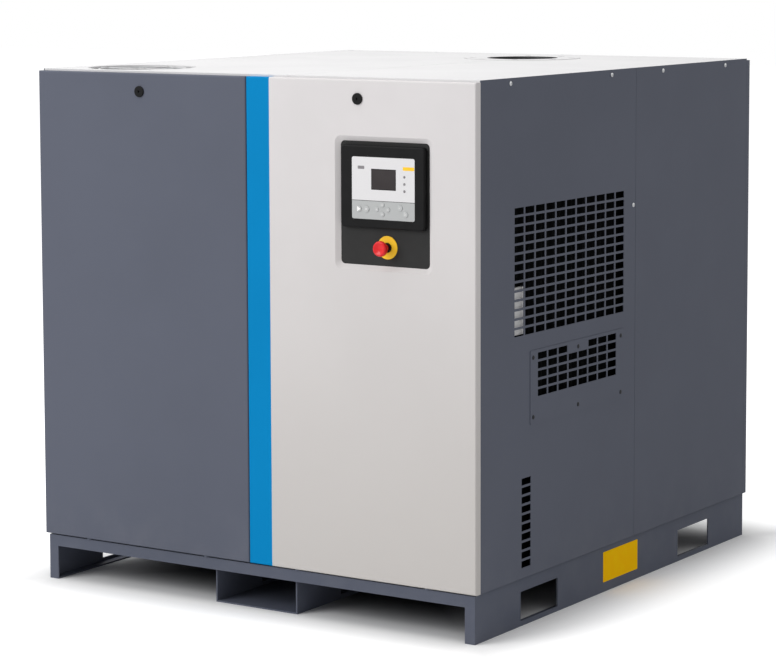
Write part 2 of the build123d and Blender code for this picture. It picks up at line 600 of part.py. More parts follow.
with BuildPart() as controller_face:
    block(FACE_X - FACE_WIDTH / 2, FACE_X + FACE_WIDTH / 2, FACE_FRONT, HOUSING_FRONT,
          FACE_Z - FACE_HEIGHT / 2, FACE_Z + FACE_HEIGHT / 2)
    fillet(controller_face.edges().filter_by(Axis.Y), 5.0)
    block(DISPLAY_X - DISPLAY_WIDTH / 2, DISPLAY_X + DISPLAY_WIDTH / 2, FACE_FRONT - 1, HOUSING_FRONT + 1,
          DISPLAY_Z - DISPLAY_HEIGHT / 2, DISPLAY_Z + DISPLAY_HEIGHT / 2, Mode.SUBTRACT)
    for key_x, key_z, key_r in KEYS.values():
        bar_y(key_x, FACE_FRONT - 1, HOUSING_FRONT + 1, key_z, key_r + KEY_CLEARANCE, Mode.SUBTRACT)
controller_face.part.label = "controller_face"
export_step(controller_face.part, "parts/controller_face.step")

with BuildPart() as display_screen:
    block(DISPLAY_X - DISPLAY_WIDTH / 2, DISPLAY_X + DISPLAY_WIDTH / 2, FACE_FRONT, HOUSING_FRONT,
          DISPLAY_Z - DISPLAY_HEIGHT / 2, DISPLAY_Z + DISPLAY_HEIGHT / 2)
display_screen.part.label = "display_screen"
export_step(display_screen.part, "parts/display_screen.step")

for name, (key_x, key_z, key_r) in KEYS.items():
    with BuildPart() as key:
        bar_y(key_x, FACE_FRONT - KEY_PROUD, FACE_FRONT - KEY_PROUD + KEY_LENGTH, key_z, key_r)
        fillet(key.faces().sort_by(Axis.Y)[0].edges(), 0.8)
    key.part.label = name
    export_step(key.part, f"parts/{name}.step")

RING_FRONT = PLATE_FRONT - STOP_RING_THICKNESS
COLLAR_FRONT = RING_FRONT - STOP_COLLAR_LENGTH
HEAD_BACK = COLLAR_FRONT - STOP_TRAVEL - SEAT
HEAD_FRONT = HEAD_BACK - STOP_NECK_LENGTH - STOP_HEAD_LENGTH
with BuildPart() as emergency_stop_ring:
    bar_y(STOP_X, RING_FRONT, PLATE_FRONT, STOP_Z, STOP_RING_R)
    fillet(emergency_stop_ring.faces().sort_by(Axis.Y)[0].edges(), 0.6)
    bar_y(STOP_X, RING_FRONT - 1, PLATE_FRONT + 1, STOP_Z, STOP_COLLAR_R - STOP_COLLAR_WALL, Mode.SUBTRACT)
emergency_stop_ring.part.label = "emergency_stop_ring"
export_step(emergency_stop_ring.part, "parts/emergency_stop_ring.step")

with BuildPart() as emergency_stop_collar:
    bar_y(STOP_X, COLLAR_FRONT, RING_FRONT, STOP_Z, STOP_COLLAR_R)
    fillet(emergency_stop_collar.faces().sort_by(Axis.Y)[0].edges(), 1.0)
    bar_y(STOP_X, RING_FRONT, PLATE_BACK + 22, STOP_Z, STOP_COLLAR_R - STOP_COLLAR_WALL)
    bar_y(STOP_X, COLLAR_FRONT - 1, PLATE_BACK + 20, STOP_Z, STOP_PLUNGER_R + STOP_CLEARANCE, Mode.SUBTRACT)
emergency_stop_collar.part.label = "emergency_stop_collar"
export_step(emergency_stop_collar.part, "parts/emergency_stop_collar.step")

with BuildPart() as emergency_stop_plunger:
    bar_y(STOP_X, HEAD_BACK, PLATE_BACK + 10, STOP_Z, STOP_PLUNGER_R)
    bar_y(STOP_X, HEAD_BACK - 8, HEAD_BACK, STOP_Z, HEAD_BORE_R)
emergency_stop_plunger.part.label = "emergency_stop_plunger"
export_step(emergency_stop_plunger.part, "parts/emergency_stop_plunger.step")

with BuildPart() as emergency_stop_head:
    bar_y(STOP_X, HEAD_FRONT, HEAD_FRONT + STOP_HEAD_LENGTH, STOP_Z, STOP_HEAD_R)
    fillet(emergency_stop_head.faces().sort_by(Axis.Y)[0].edges(), 6.0)
    fillet(emergency_stop_head.faces().sort_by(Axis.Y)[-1].edges(), 1.5)
    bar_y(STOP_X, HEAD_FRONT + STOP_HEAD_LENGTH, HEAD_BACK - SEAT, STOP_Z, STOP_NECK_R)
    bar_y(STOP_X, HEAD_BACK - 8 - SEAT, HEAD_BACK, STOP_Z, HEAD_BORE_R + STOP_CLEARANCE, Mode.SUBTRACT)
emergency_stop_head.part.label = "emergency_stop_head"
export_step(emergency_stop_head.part, "parts/emergency_stop_head.step")

# ---------------------------------------------------------------- motor
with BuildPart() as motor_housing:
    bar_y(MALE_X, MOTOR_Y0, MOTOR_Y1, AXIS_Z, MOTOR_R)
    with Locations(Location((MALE_X, 0, AXIS_Z), (-90, 0, 0))):
        with PolarLocations(MOTOR_R + 4, 24, 97.5, 345):
            Box(16, 4, MOTOR_Y1 - MOTOR_Y0 - 60)
    for foot_y in (MOTOR_Y0 + 70, MOTOR_Y1 - 70):
        block(MALE_X - 130, MALE_X + 130, foot_y - 35, foot_y + 35, FLOOR_TOP, AXIS_Z - MOTOR_R + 30)
    bar_y(MALE_X, MOTOR_Y0 + SHIELD, MOTOR_Y1 - SHIELD, AXIS_Z, MOTOR_R - MOTOR_WALL, Mode.SUBTRACT)
    bar_y(MALE_X, -MOTOR_CORE_LENGTH / 2, MOTOR_CORE_LENGTH / 2, AXIS_Z, MOTOR_R - MOTOR_WALL / 2)
    bar_y(MALE_X, -MOTOR_CORE_LENGTH / 2, MOTOR_CORE_LENGTH / 2, AXIS_Z, MOTOR_CORE_R + STATOR_GAP, Mode.SUBTRACT)
    bar_y(MALE_X, MOTOR_Y0 - 1, MOTOR_Y1 + 1, AXIS_Z, MOTOR_SHAFT_R + RUNNING, Mode.SUBTRACT)
    block(MALE_X + MOTOR_R - 12, MALE_X + MOTOR_R + 70, -60, 80, AXIS_Z - 10, AXIS_Z + 110)
motor_housing.part.label = "motor_housing"
export_step(motor_housing.part, "parts/motor_housing.step")

with BuildPart() as motor_rotor:
    bar_y(MALE_X, -MOTOR_CORE_LENGTH / 2, MOTOR_CORE_LENGTH / 2, AXIS_Z, MOTOR_CORE_R)
    bar_y(MALE_X, MOTOR_Y0 - 40, COUPLING_Y, AXIS_Z, MOTOR_SHAFT_R)
    bar_y(MALE_X, COUPLING_Y - COUPLING_HALF, COUPLING_Y, AXIS_Z, COUPLING_R)
motor_rotor.part.label = "motor_rotor"
export_step(motor_rotor.part, "parts/motor_rotor.step")

MOTOR_FAN_Y = MOTOR_Y0 - 36
with BuildPart() as motor_fan:
    bar_y(MALE_X, MOTOR_FAN_Y, MOTOR_FAN_Y + 28, AXIS_Z, 45)
    with Locations(Location((MALE_X, MOTOR_FAN_Y + 14, AXIS_Z), (-90, 0, 0))):
        with PolarLocations(78, 8):
            Box(84, 4, 28)
    bar_y(MALE_X, MOTOR_FAN_Y - 1, MOTOR_FAN_Y + 29, AXIS_Z, MOTOR_SHAFT_R, Mode.SUBTRACT)
motor_fan.part.label = "motor_fan"
export_step(motor_fan.part, "parts/motor_fan.step")

COWL_Y = MOTOR_Y0 - 62
with BuildPart() as motor_fan_cowl:
    bar_y(MALE_X, COWL_Y, MOTOR_Y0, AXIS_Z, MOTOR_R)
    fillet(motor_fan_cowl.faces().sort_by(Axis.Y)[0].edges(), 14.0)
    bar_y(MALE_X, COWL_Y + SHEET, MOTOR_Y0 + 1, AXIS_Z, MOTOR_R - SHEET - 12, Mode.SUBTRACT)
    with BuildSketch(Plane.XZ.offset(-COWL_Y)):
        with Locations((MALE_X, AXIS_Z)):
            for ring, holes in ((35, 8), (65, 14), (95, 20)):
                with PolarLocations(ring, holes):
                    Circle(8)
    extrude(amount=-WALL_CUT, mode=Mode.SUBTRACT)
motor_fan_cowl.part.label = "motor_fan_cowl"
export_step(motor_fan_cowl.part, "parts/motor_fan_cowl.step")

with BuildPart() as bell_housing:
    bar_y(MALE_X, MOTOR_Y1, CASE_Y0, AXIS_Z, BELL_R)
    bar_y(MALE_X, MOTOR_Y1, CASE_Y0, AXIS_Z, BELL_R - 15, Mode.SUBTRACT)
    block(MALE_X - MOTOR_R, MALE_X + MOTOR_R, MOTOR_Y1 + 25, CASE_Y0 - 25, AXIS_Z - 45, AXIS_Z + 45, Mode.SUBTRACT)
bell_housing.part.label = "bell_housing"
export_step(bell_housing.part, "parts/bell_housing.step")

# ---------------------------------------------------------------- screw element
MALE_OUTER_R = MALE_PITCH_R + LOBE_R
ROTOR_Y1 = ROTOR_Y0 + ROTOR_LENGTH
CAVITY_Y0 = ROTOR_Y0 - ROTOR_GAP
CAVITY_Y1 = ROTOR_Y1 + ROTOR_GAP
CAVITIES = ((MALE_X, MALE_OUTER_R + ROTOR_GAP), (FEMALE_X, FEMALE_PITCH_R + ROTOR_GAP))
with BuildPart() as screw_element_casing:
    for axis_x, cavity_r in CAVITIES:
        bar_y(axis_x, CASE_Y0, CASE_Y1, AXIS_Z, cavity_r + CASE_WALL)
    block(FEMALE_X, MALE_X, CASE_Y0, CASE_Y1, AXIS_Z - MALE_OUTER_R, AXIS_Z + MALE_OUTER_R)
    post(INLET_X, INLET_Y, AXIS_Z, VALVE_BOTTOM, VALVE_R)
    bar_x(TANK_X + TANK_R + 80, FEMALE_X, TANK_Y, AXIS_Z, DISCHARGE_R + 15)
    for foot_y in (CASE_Y0 + 40, CASE_Y1 - 40):
        block(INLET_X - 150, INLET_X + 150, foot_y - 25, foot_y + 25, FLOOR_TOP, AXIS_Z - MALE_OUTER_R + 20)
    for axis_x, cavity_r in CAVITIES:
        bar_y(axis_x, CAVITY_Y0, CAVITY_Y1, AXIS_Z, cavity_r, Mode.SUBTRACT)
        bar_y(axis_x, CASE_Y0 - 1, CASE_Y0 + BEARING_LENGTH, AXIS_Z, BEARING_R, Mode.SUBTRACT)
        bar_y(axis_x, CASE_Y1 - BEARING_LENGTH, CASE_Y1 + 1, AXIS_Z, BEARING_R, Mode.SUBTRACT)
        bar_y(axis_x, CASE_Y0 - 1, CASE_Y1 + 1, AXIS_Z, ROTOR_SHAFT_R + ROTOR_GAP, Mode.SUBTRACT)
    post(INLET_X, INLET_Y, AXIS_Z, VALVE_BOTTOM + 1, VALVE_R - 40, Mode.SUBTRACT)
    bar_x(TANK_X + TANK_R + 79, FEMALE_X, TANK_Y, AXIS_Z, DISCHARGE_R - 5, Mode.SUBTRACT)
screw_element_casing.part.label = "screw_element_casing"
export_step(screw_element_casing.part, "parts/screw_element_casing.step")

with BuildPart() as rotor_bearings:
    for axis_x in (MALE_X, FEMALE_X):
        for ring_y in (CASE_Y0, CASE_Y1 - BEARING_LENGTH):
            bar_y(axis_x, ring_y, ring_y + BEARING_LENGTH, AXIS_Z, BEARING_R - RUNNING)
            bar_y(axis_x, ring_y - 1, ring_y + BEARING_LENGTH + 1, AXIS_Z, ROTOR_SHAFT_R + RUNNING, Mode.SUBTRACT)
rotor_bearings.part.label = "rotor_bearings"
export_step(rotor_bearings.part, "parts/rotor_bearings.step")


def twisted(section, start, turn):
    """Solid of a rotor: its section carried along +Y and turned as it goes."""
    return Solid.extrude_linear_with_rotation(section, start, (0, ROTOR_LENGTH, 0), turn)


with BuildSketch(Plane.XZ.offset(-ROTOR_Y0)) as male_section:
    with Locations((MALE_X, AXIS_Z)):
        Circle(MALE_PITCH_R - ROOT_CLEARANCE)
        with PolarLocations(MALE_PITCH_R, MALE_LOBES, 180):
            Circle(LOBE_R)

with BuildSketch(Plane.XZ.offset(-ROTOR_Y0)) as female_section:
    with Locations((FEMALE_X, AXIS_Z)):
        Circle(FEMALE_PITCH_R)
        with PolarLocations(FEMALE_PITCH_R, FEMALE_FLUTES, 0):
            Circle(LOBE_R + FLUTE_CLEARANCE, mode=Mode.SUBTRACT)

with BuildPart() as male_rotor:
    add(twisted(male_section.sketch.faces()[0], (MALE_X, ROTOR_Y0, AXIS_Z), MALE_TWIST))
    bar_y(MALE_X, COUPLING_Y, CASE_Y1 + 4, AXIS_Z, ROTOR_SHAFT_R)
    bar_y(MALE_X, COUPLING_Y, COUPLING_Y + COUPLING_HALF, AXIS_Z, COUPLING_R)
male_rotor.part.label = "male_rotor"
export_step(male_rotor.part, "parts/male_rotor.step")

FEMALE_TWIST = -MALE_TWIST * MALE_LOBES / FEMALE_FLUTES
with BuildPart() as female_rotor:
    add(twisted(female_section.sketch.faces()[0], (FEMALE_X, ROTOR_Y0, AXIS_Z), FEMALE_TWIST))
    bar_y(FEMALE_X, CASE_Y0 - 4, CASE_Y1 + 4, AXIS_Z, ROTOR_SHAFT_R)
female_rotor.part.label = "female_rotor"
export_step(female_rotor.part, "parts/female_rotor.step")

# ---------------------------------------------------------------- inlet
FLANGE_RIM = 18.0
with BuildPart() as inlet_valve_body:
    post(INLET_X, INLET_Y, VALVE_BOTTOM, VALVE_TOP, VALVE_R)
    post(INLET_X, INLET_Y, VALVE_BOTTOM, VALVE_BOTTOM + FLANGE_RIM, VALVE_FLANGE_R)
    post(INLET_X, INLET_Y, VALVE_TOP - FLANGE_RIM, VALVE_TOP, VALVE_FLANGE_R)
    post(INLET_X, INLET_Y, VALVE_BOTTOM - 1, VALVE_TOP + 1, VALVE_R - VALVE_WALL, Mode.SUBTRACT)
    post(INLET_X, INLET_Y, VALVE_SEAT_Z, VALVE_SEAT_Z + 8, VALVE_R - 1)
    post(INLET_X, INLET_Y, VALVE_SEAT_Z - 1, VALVE_SEAT_Z + 9, VALVE_SEAT_R, Mode.SUBTRACT)
    with Locations((INLET_X, INLET_Y, GUIDE_Z)):
        with PolarLocations((VALVE_R - 4) / 2, 3):
            Box(VALVE_R - 4, 10, 14, align=LOW)
    post(INLET_X, INLET_Y, GUIDE_Z, GUIDE_Z + 14, 20)
    post(INLET_X, INLET_Y, GUIDE_Z - 1, GUIDE_Z + 15, VALVE_STEM_R + RUNNING, Mode.SUBTRACT)
inlet_valve_body.part.label = "inlet_valve_body"
export_step(inlet_valve_body.part, "parts/inlet_valve_body.step")

with BuildPart() as inlet_valve_disc:
    disc_top = VALVE_SEAT_Z - SEAT
    post(INLET_X, INLET_Y, disc_top - VALVE_DISC_THICKNESS, disc_top, VALVE_DISC_R)
    post(INLET_X, INLET_Y, GUIDE_Z - 35, disc_top - VALVE_DISC_THICKNESS, VALVE_STEM_R)
inlet_valve_disc.part.label = "inlet_valve_disc"
export_step(inlet_valve_disc.part, "parts/inlet_valve_disc.step")

with BuildPart() as inlet_pipe:
    post(INLET_X, INLET_Y, VALVE_TOP, FLANGE_TOP, INLET_BORE_R + INLET_WALL)
    post(INLET_X, INLET_Y, VALVE_TOP, VALVE_TOP + FLANGE_RIM, VALVE_FLANGE_R)
    post(INLET_X, INLET_Y, FLANGE_TOP - INLET_FLANGE_THICKNESS, FLANGE_TOP, INLET_FLANGE_R)
    post(INLET_X, INLET_Y, VALVE_TOP - 1, FLANGE_TOP + 1, INLET_BORE_R, Mode.SUBTRACT)
    with Locations((INLET_X, INLET_Y, FLANGE_TOP - INLET_FLANGE_THICKNESS - 1)):
        with PolarLocations(INLET_PCD / 2, INLET_BOLTS, 180 / INLET_BOLTS):
            Cylinder(INLET_BOLT_R, INLET_FLANGE_THICKNESS + 2, align=LOW, mode=Mode.SUBTRACT)
inlet_pipe.part.label = "inlet_pipe"
export_step(inlet_pipe.part, "parts/inlet_pipe.step")

# ---------------------------------------------------------------- oil circuit
with BuildPart() as separator_tank:
    post(TANK_X, TANK_Y, TANK_BOTTOM, TANK_TOP, TANK_R)
    fillet(separator_tank.faces().sort_by(Axis.Z)[0].edges(), 24.0)
    post(TANK_X, TANK_Y, FLOOR_TOP, TANK_BOTTOM + 20, TANK_R - 40)
    post(TANK_X, TANK_Y, TANK_TOP - FLANGE_RIM, TANK_TOP, TANK_FLANGE_R)
    post(TANK_X, TANK_Y, TANK_BOTTOM + 26, TANK_TOP + 1, TANK_R - TANK_WALL, Mode.SUBTRACT)
    bar_x(TANK_X + TANK_R - 3 * TANK_WALL, TANK_X + TANK_R + 30, TANK_Y, AXIS_Z, DISCHARGE_R)
    bar_x(TANK_X + TANK_R - 4 * TANK_WALL, TANK_X + TANK_R + 31, TANK_Y, AXIS_Z, DISCHARGE_R - 5, Mode.SUBTRACT)
separator_tank.part.label = "separator_tank"
export_step(separator_tank.part, "parts/separator_tank.step")

LID_TOP = TANK_TOP + LID_THICKNESS
with BuildPart() as separator_lid:
    post(TANK_X, TANK_Y, TANK_TOP, LID_TOP, TANK_FLANGE_R)
    post(TANK_X, TANK_Y, TANK_TOP - 320, TANK_TOP, ELEMENT_R)
    with Locations((TANK_X, TANK_Y, LID_TOP)):
        with PolarLocations(TANK_FLANGE_R - 12, 12):
            Cylinder(9, 10, align=LOW)
    post(TANK_X, TANK_Y, TANK_TOP - 310, LID_TOP + 1, EXHAUST_BORE_R, Mode.SUBTRACT)
separator_lid.part.label = "separator_lid"
export_step(separator_lid.part, "parts/separator_lid.step")

FILTER_Y = TANK_Y - TANK_R - FILTER_R - 12
with BuildPart() as oil_filter:
    post(TANK_X, FILTER_Y, 360, 560, FILTER_R)
    fillet(oil_filter.faces().sort_by(Axis.Z)[0].edges(), 12.0)
    block(TANK_X - 40, TANK_X + 40, FILTER_Y - 50, TANK_Y - TANK_R, 560, 600)
    post(TANK_X, TANK_Y, 500, 640, TANK_R + SEAT, Mode.SUBTRACT)
oil_filter.part.label = "oil_filter"
export_step(oil_filter.part, "parts/oil_filter.step")

with BuildPart() as discharge_pipe:
    bar_x(TANK_X + TANK_R + 30, TANK_X + TANK_R + 80, TANK_Y, AXIS_Z, DISCHARGE_R)
    for flange_x in (TANK_X + TANK_R + 30, TANK_X + TANK_R + 68):
        bar_x(flange_x, flange_x + 12, TANK_Y, AXIS_Z, DISCHARGE_R + 25)
    bar_x(TANK_X + TANK_R + 29, TANK_X + TANK_R + 81, TANK_Y, AXIS_Z, DISCHARGE_R - 5, Mode.SUBTRACT)
discharge_pipe.part.label = "discharge_pipe"
export_step(discharge_pipe.part, "parts/discharge_pipe.step")

EXHAUST_BEND = 110.0
with BuildPart() as exhaust_pipe:
    with BuildLine() as exhaust_path:
        FilletPolyline((EXHAUST_X, TANK_Y, LID_TOP), (EXHAUST_X, TANK_Y, EXHAUST_Z), (EXHAUST_X, HALF_D, EXHAUST_Z),
                       radius=EXHAUST_BEND)
    with BuildSketch(Plane((EXHAUST_X, TANK_Y, LID_TOP))):
        Circle(EXHAUST_BORE_R + EXHAUST_WALL)
    sweep()
    bar_y(EXHAUST_X, HALF_D - EXHAUST_FLANGE_THICKNESS, HALF_D, EXHAUST_Z, EXHAUST_FLANGE_R)
    post(EXHAUST_X, TANK_Y, LID_TOP, LID_TOP + 14, EXHAUST_FLANGE_R - 20)
    with BuildSketch(Plane((EXHAUST_X, TANK_Y, LID_TOP))):
        Circle(EXHAUST_BORE_R)
    sweep(path=exhaust_path.line, mode=Mode.SUBTRACT)
    with Locations(Location((EXHAUST_X, HALF_D - EXHAUST_FLANGE_THICKNESS - 1, EXHAUST_Z), ALONG_Y)):
        with PolarLocations(EXHAUST_PCD / 2, EXHAUST_BOLTS, 180 / EXHAUST_BOLTS):
            Cylinder(EXHAUST_BOLT_R, EXHAUST_FLANGE_THICKNESS + 2, align=LOW, mode=Mode.SUBTRACT)
exhaust_pipe.part.label = "exhaust_pipe"
export_step(exhaust_pipe.part, "parts/exhaust_pipe.step")

# ---------------------------------------------------------------- cooler and its fan
COOLER_TOP = 1236.0
COOLER_HEIGHT = 80.0
with BuildPart() as fan_shroud:
    block(-FRAME_OUT + 4, FAN_X + DUCT_R + DECK_MARGIN, -FRAME_FRONT, FAN_Y + DUCT_R + DECK_MARGIN, RAIL_TOP,
          RAIL_TOP + SHEET)
    block(FAN_X - DUCT_R, FAN_X + DUCT_R, FAN_Y - DUCT_R, FAN_Y + DUCT_R, COOLER_TOP, COOLER_TOP + SHEET)
    post(FAN_X, FAN_Y, COOLER_TOP, GUARD_TOP - GUARD_BAR - SEAT, DUCT_R + SHEET)
    post(FAN_X, FAN_Y, COOLER_TOP - 1, GUARD_TOP, DUCT_R, Mode.SUBTRACT)
    with Locations((FAN_X, FAN_Y, COOLER_TOP + 4)):
        with PolarLocations(DUCT_R / 2, 3):
            Box(DUCT_R + 2, 10, 6, align=LOW)
    post(FAN_X, FAN_Y, COOLER_TOP + 2, COOLER_TOP + 70, 46)
    post(FAN_X, FAN_Y, COOLER_TOP + 30, COOLER_TOP + 71, 7 + RUNNING, Mode.SUBTRACT)
fan_shroud.part.label = "fan_shroud"
export_step(fan_shroud.part, "parts/fan_shroud.step")

BLADE_Z = COOLER_TOP + 96
BLADE_MID_R = DUCT_R - 55
BLADE_LENGTH = 98
with BuildPart() as cooling_fan_impeller:
    with Locations((FAN_X, FAN_Y, BLADE_Z)):
        with PolarLocations(BLADE_MID_R, 7):
            Box(BLADE_LENGTH, 60, 4, rotation=(28, 0, 0))
    post(FAN_X, FAN_Y, BLADE_Z - 24, BLADE_Z + 24, 46)
    fillet(cooling_fan_impeller.faces().sort_by(Axis.Z)[-1].edges(), 6.0)
    post(FAN_X, FAN_Y, COOLER_TOP + 32, BLADE_Z, 7)
cooling_fan_impeller.part.label = "cooling_fan_impeller"
export_step(cooling_fan_impeller.part, "parts/cooling_fan_impeller.step")

FIN_PITCH = 12.0
with BuildPart() as oil_cooler:
    block(FAN_X - DUCT_R, FAN_X + DUCT_R, FAN_Y - DUCT_R, FAN_Y + DUCT_R, COOLER_TOP - COOLER_HEIGHT, COOLER_TOP)
    with BuildSketch(Plane.XY.offset(COOLER_TOP)):
        with Locations((FAN_X, FAN_Y)):
            with GridLocations(FIN_PITCH, 0, 20, 1):
                Rectangle(FIN_PITCH - 3, 2 * DUCT_R - 60)
    extrude(amount=-COOLER_HEIGHT, mode=Mode.SUBTRACT)
oil_cooler.part.label = "oil_cooler"
export_step(oil_cooler.part, "parts/oil_cooler.step")
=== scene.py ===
"""Looks of the boxed screw vacuum pump: finishes, fasteners, linings, controls and the studio around it.

Lengths are metres in the part's own frame: +Z up, -Y the operator's side, +X the service side.
"""

import logging
import math
from collections.abc import Callable, Iterable, Sequence
from dataclasses import dataclass
from enum import Enum
from typing import Any

import bmesh
import bpy
from mathutils import Matrix, Vector


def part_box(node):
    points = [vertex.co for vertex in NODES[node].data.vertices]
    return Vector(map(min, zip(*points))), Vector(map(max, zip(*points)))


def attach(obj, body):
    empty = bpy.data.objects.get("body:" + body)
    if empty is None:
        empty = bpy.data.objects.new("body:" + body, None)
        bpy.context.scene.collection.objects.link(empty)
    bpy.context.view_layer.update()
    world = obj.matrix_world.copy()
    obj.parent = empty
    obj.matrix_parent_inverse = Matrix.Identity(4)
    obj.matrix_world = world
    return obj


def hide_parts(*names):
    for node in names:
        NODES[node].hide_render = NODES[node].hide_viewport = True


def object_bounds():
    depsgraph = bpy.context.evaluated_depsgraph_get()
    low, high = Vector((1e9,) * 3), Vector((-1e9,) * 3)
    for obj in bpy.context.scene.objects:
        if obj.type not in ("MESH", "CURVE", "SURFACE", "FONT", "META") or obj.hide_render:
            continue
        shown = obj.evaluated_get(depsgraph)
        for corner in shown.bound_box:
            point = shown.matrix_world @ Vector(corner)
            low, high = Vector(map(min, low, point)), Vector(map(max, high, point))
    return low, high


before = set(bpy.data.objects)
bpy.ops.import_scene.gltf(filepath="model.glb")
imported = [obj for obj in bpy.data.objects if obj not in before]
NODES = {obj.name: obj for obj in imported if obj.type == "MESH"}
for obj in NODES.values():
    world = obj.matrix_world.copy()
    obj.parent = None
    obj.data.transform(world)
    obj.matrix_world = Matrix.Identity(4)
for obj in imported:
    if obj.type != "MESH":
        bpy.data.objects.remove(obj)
CAD_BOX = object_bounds()

log = logging.getLogger("vacuum_pump")

Colour = tuple[float, float, float]
Point = tuple[float, float, float]

MM = 0.001
MACHINE = "machine"

DARK_GREY: Colour = (0.099, 0.108, 0.141)
BASE_GREY: Colour = (0.092, 0.102, 0.136)
LIGHT_GREY: Colour = (0.660, 0.636, 0.640)
# Painted shade: the light panel's colour at the floor.
LIGHT_GREY_PAINTED_SHADE: Colour = (0.530, 0.506, 0.488)
ROOF_GREY: Colour = (0.700, 0.695, 0.700)
STRIPE_BLUE: Colour = (0.0, 0.212, 0.490)
STRIPE_WIDTH = 75 * MM
DUST_GREY: Colour = (0.42, 0.41, 0.39)
DUST_HEIGHT = 0.34
# Height over which the painted shade on the light panel fades out.
STRIPED_PANEL_SHADE_HEIGHT = 1.5
# Radius of the painted shade in the inlet's bore.
INLET_BORE_SHADE_RADIUS = 105.5 * MM
KEY_BAND_HEIGHT = 47.5 * MM

# Turns a plate that looks up so that it looks at the operator, or at the service side.
UPRIGHT = Matrix.Rotation(math.radians(90), 4, "X")
SIDEWAYS = Matrix.Rotation(math.radians(90), 4, "Z") @ UPRIGHT


class Facing(Enum):
    """Which way a screw or a foam sheet looks."""

    RIGHT = (1.0, 0.0, 0.0)
    LEFT = (-1.0, 0.0, 0.0)
    REAR = (0.0, 1.0, 0.0)
    UP = (0.0, 0.0, 1.0)

    def turn(self) -> Matrix:
        """Matrix that turns +Z to this direction."""
        return Vector(self.value).to_track_quat("Z", "Y").to_matrix().to_4x4()


class Mark(Enum):
    """Symbol moulded on a key of the controller."""

    START = 0
    STOP = 1
    LEFT = 2
    UP = 3
    DOWN = 4
    RIGHT = 5
    ENTER = 6
    ESCAPE = 7


# ---- shader maths


class Signal:
    """A shader socket that carries a value, with Python's operators adding Math nodes."""

    def __init__(self, net: "Net", socket: bpy.types.NodeSocket) -> None:
        """Wrap one output socket of a net."""
        self.net = net
        self.socket = socket

    def _math(self, operation: str, first: Any, second: Any = None) -> "Signal":
        """Add one Math node.

        Args:
            operation: Blender's name of the operation.
            first: A signal or a number.
            second: A signal or a number, or None for an operation of one value.

        Returns:
            The node's result.
        """
        inputs = {0: first} if second is None else {0: first, 1: second}
        return self.net.node("ShaderNodeMath", {"operation": operation}, inputs)

    def __add__(self, other: Any) -> "Signal":
        """Sum."""
        return self._math("ADD", self, other)

    def __radd__(self, other: Any) -> "Signal":
        """Sum with a number on the left."""
        return self._math("ADD", other, self)

    def __sub__(self, other: Any) -> "Signal":
        """Difference."""
        return self._math("SUBTRACT", self, other)

    def __rsub__(self, other: Any) -> "Signal":
        """Difference from a number on the left."""
        return self._math("SUBTRACT", other, self)

    def __mul__(self, other: Any) -> "Signal":
        """Product."""
        return self._math("MULTIPLY", self, other)

    def __rmul__(self, other: Any) -> "Signal":
        """Product with a number on the left."""
        return self._math("MULTIPLY", other, self)

    def __pow__(self, other: Any) -> "Signal":
        """Power."""
        return self._math("POWER", self, other)

    def __lt__(self, other: Any) -> "Signal":
        """1 where this is below other."""
        return self._math("LESS_THAN", self, other)

    def __gt__(self, other: Any) -> "Signal":
        """1 where this is above other."""
        return self._math("GREATER_THAN", self, other)

    def root(self) -> "Signal":
        """Square root."""
        return self._math("SQRT", self)

    def ramp(self, low: float, high: float) -> "Signal":
        """0 below low, 1 above high, smooth between."""
        return self.net.node("ShaderNodeMapRange", {"interpolation_type": "SMOOTHSTEP"},
                             {"Value": self, "From Min": low, "From Max": high})


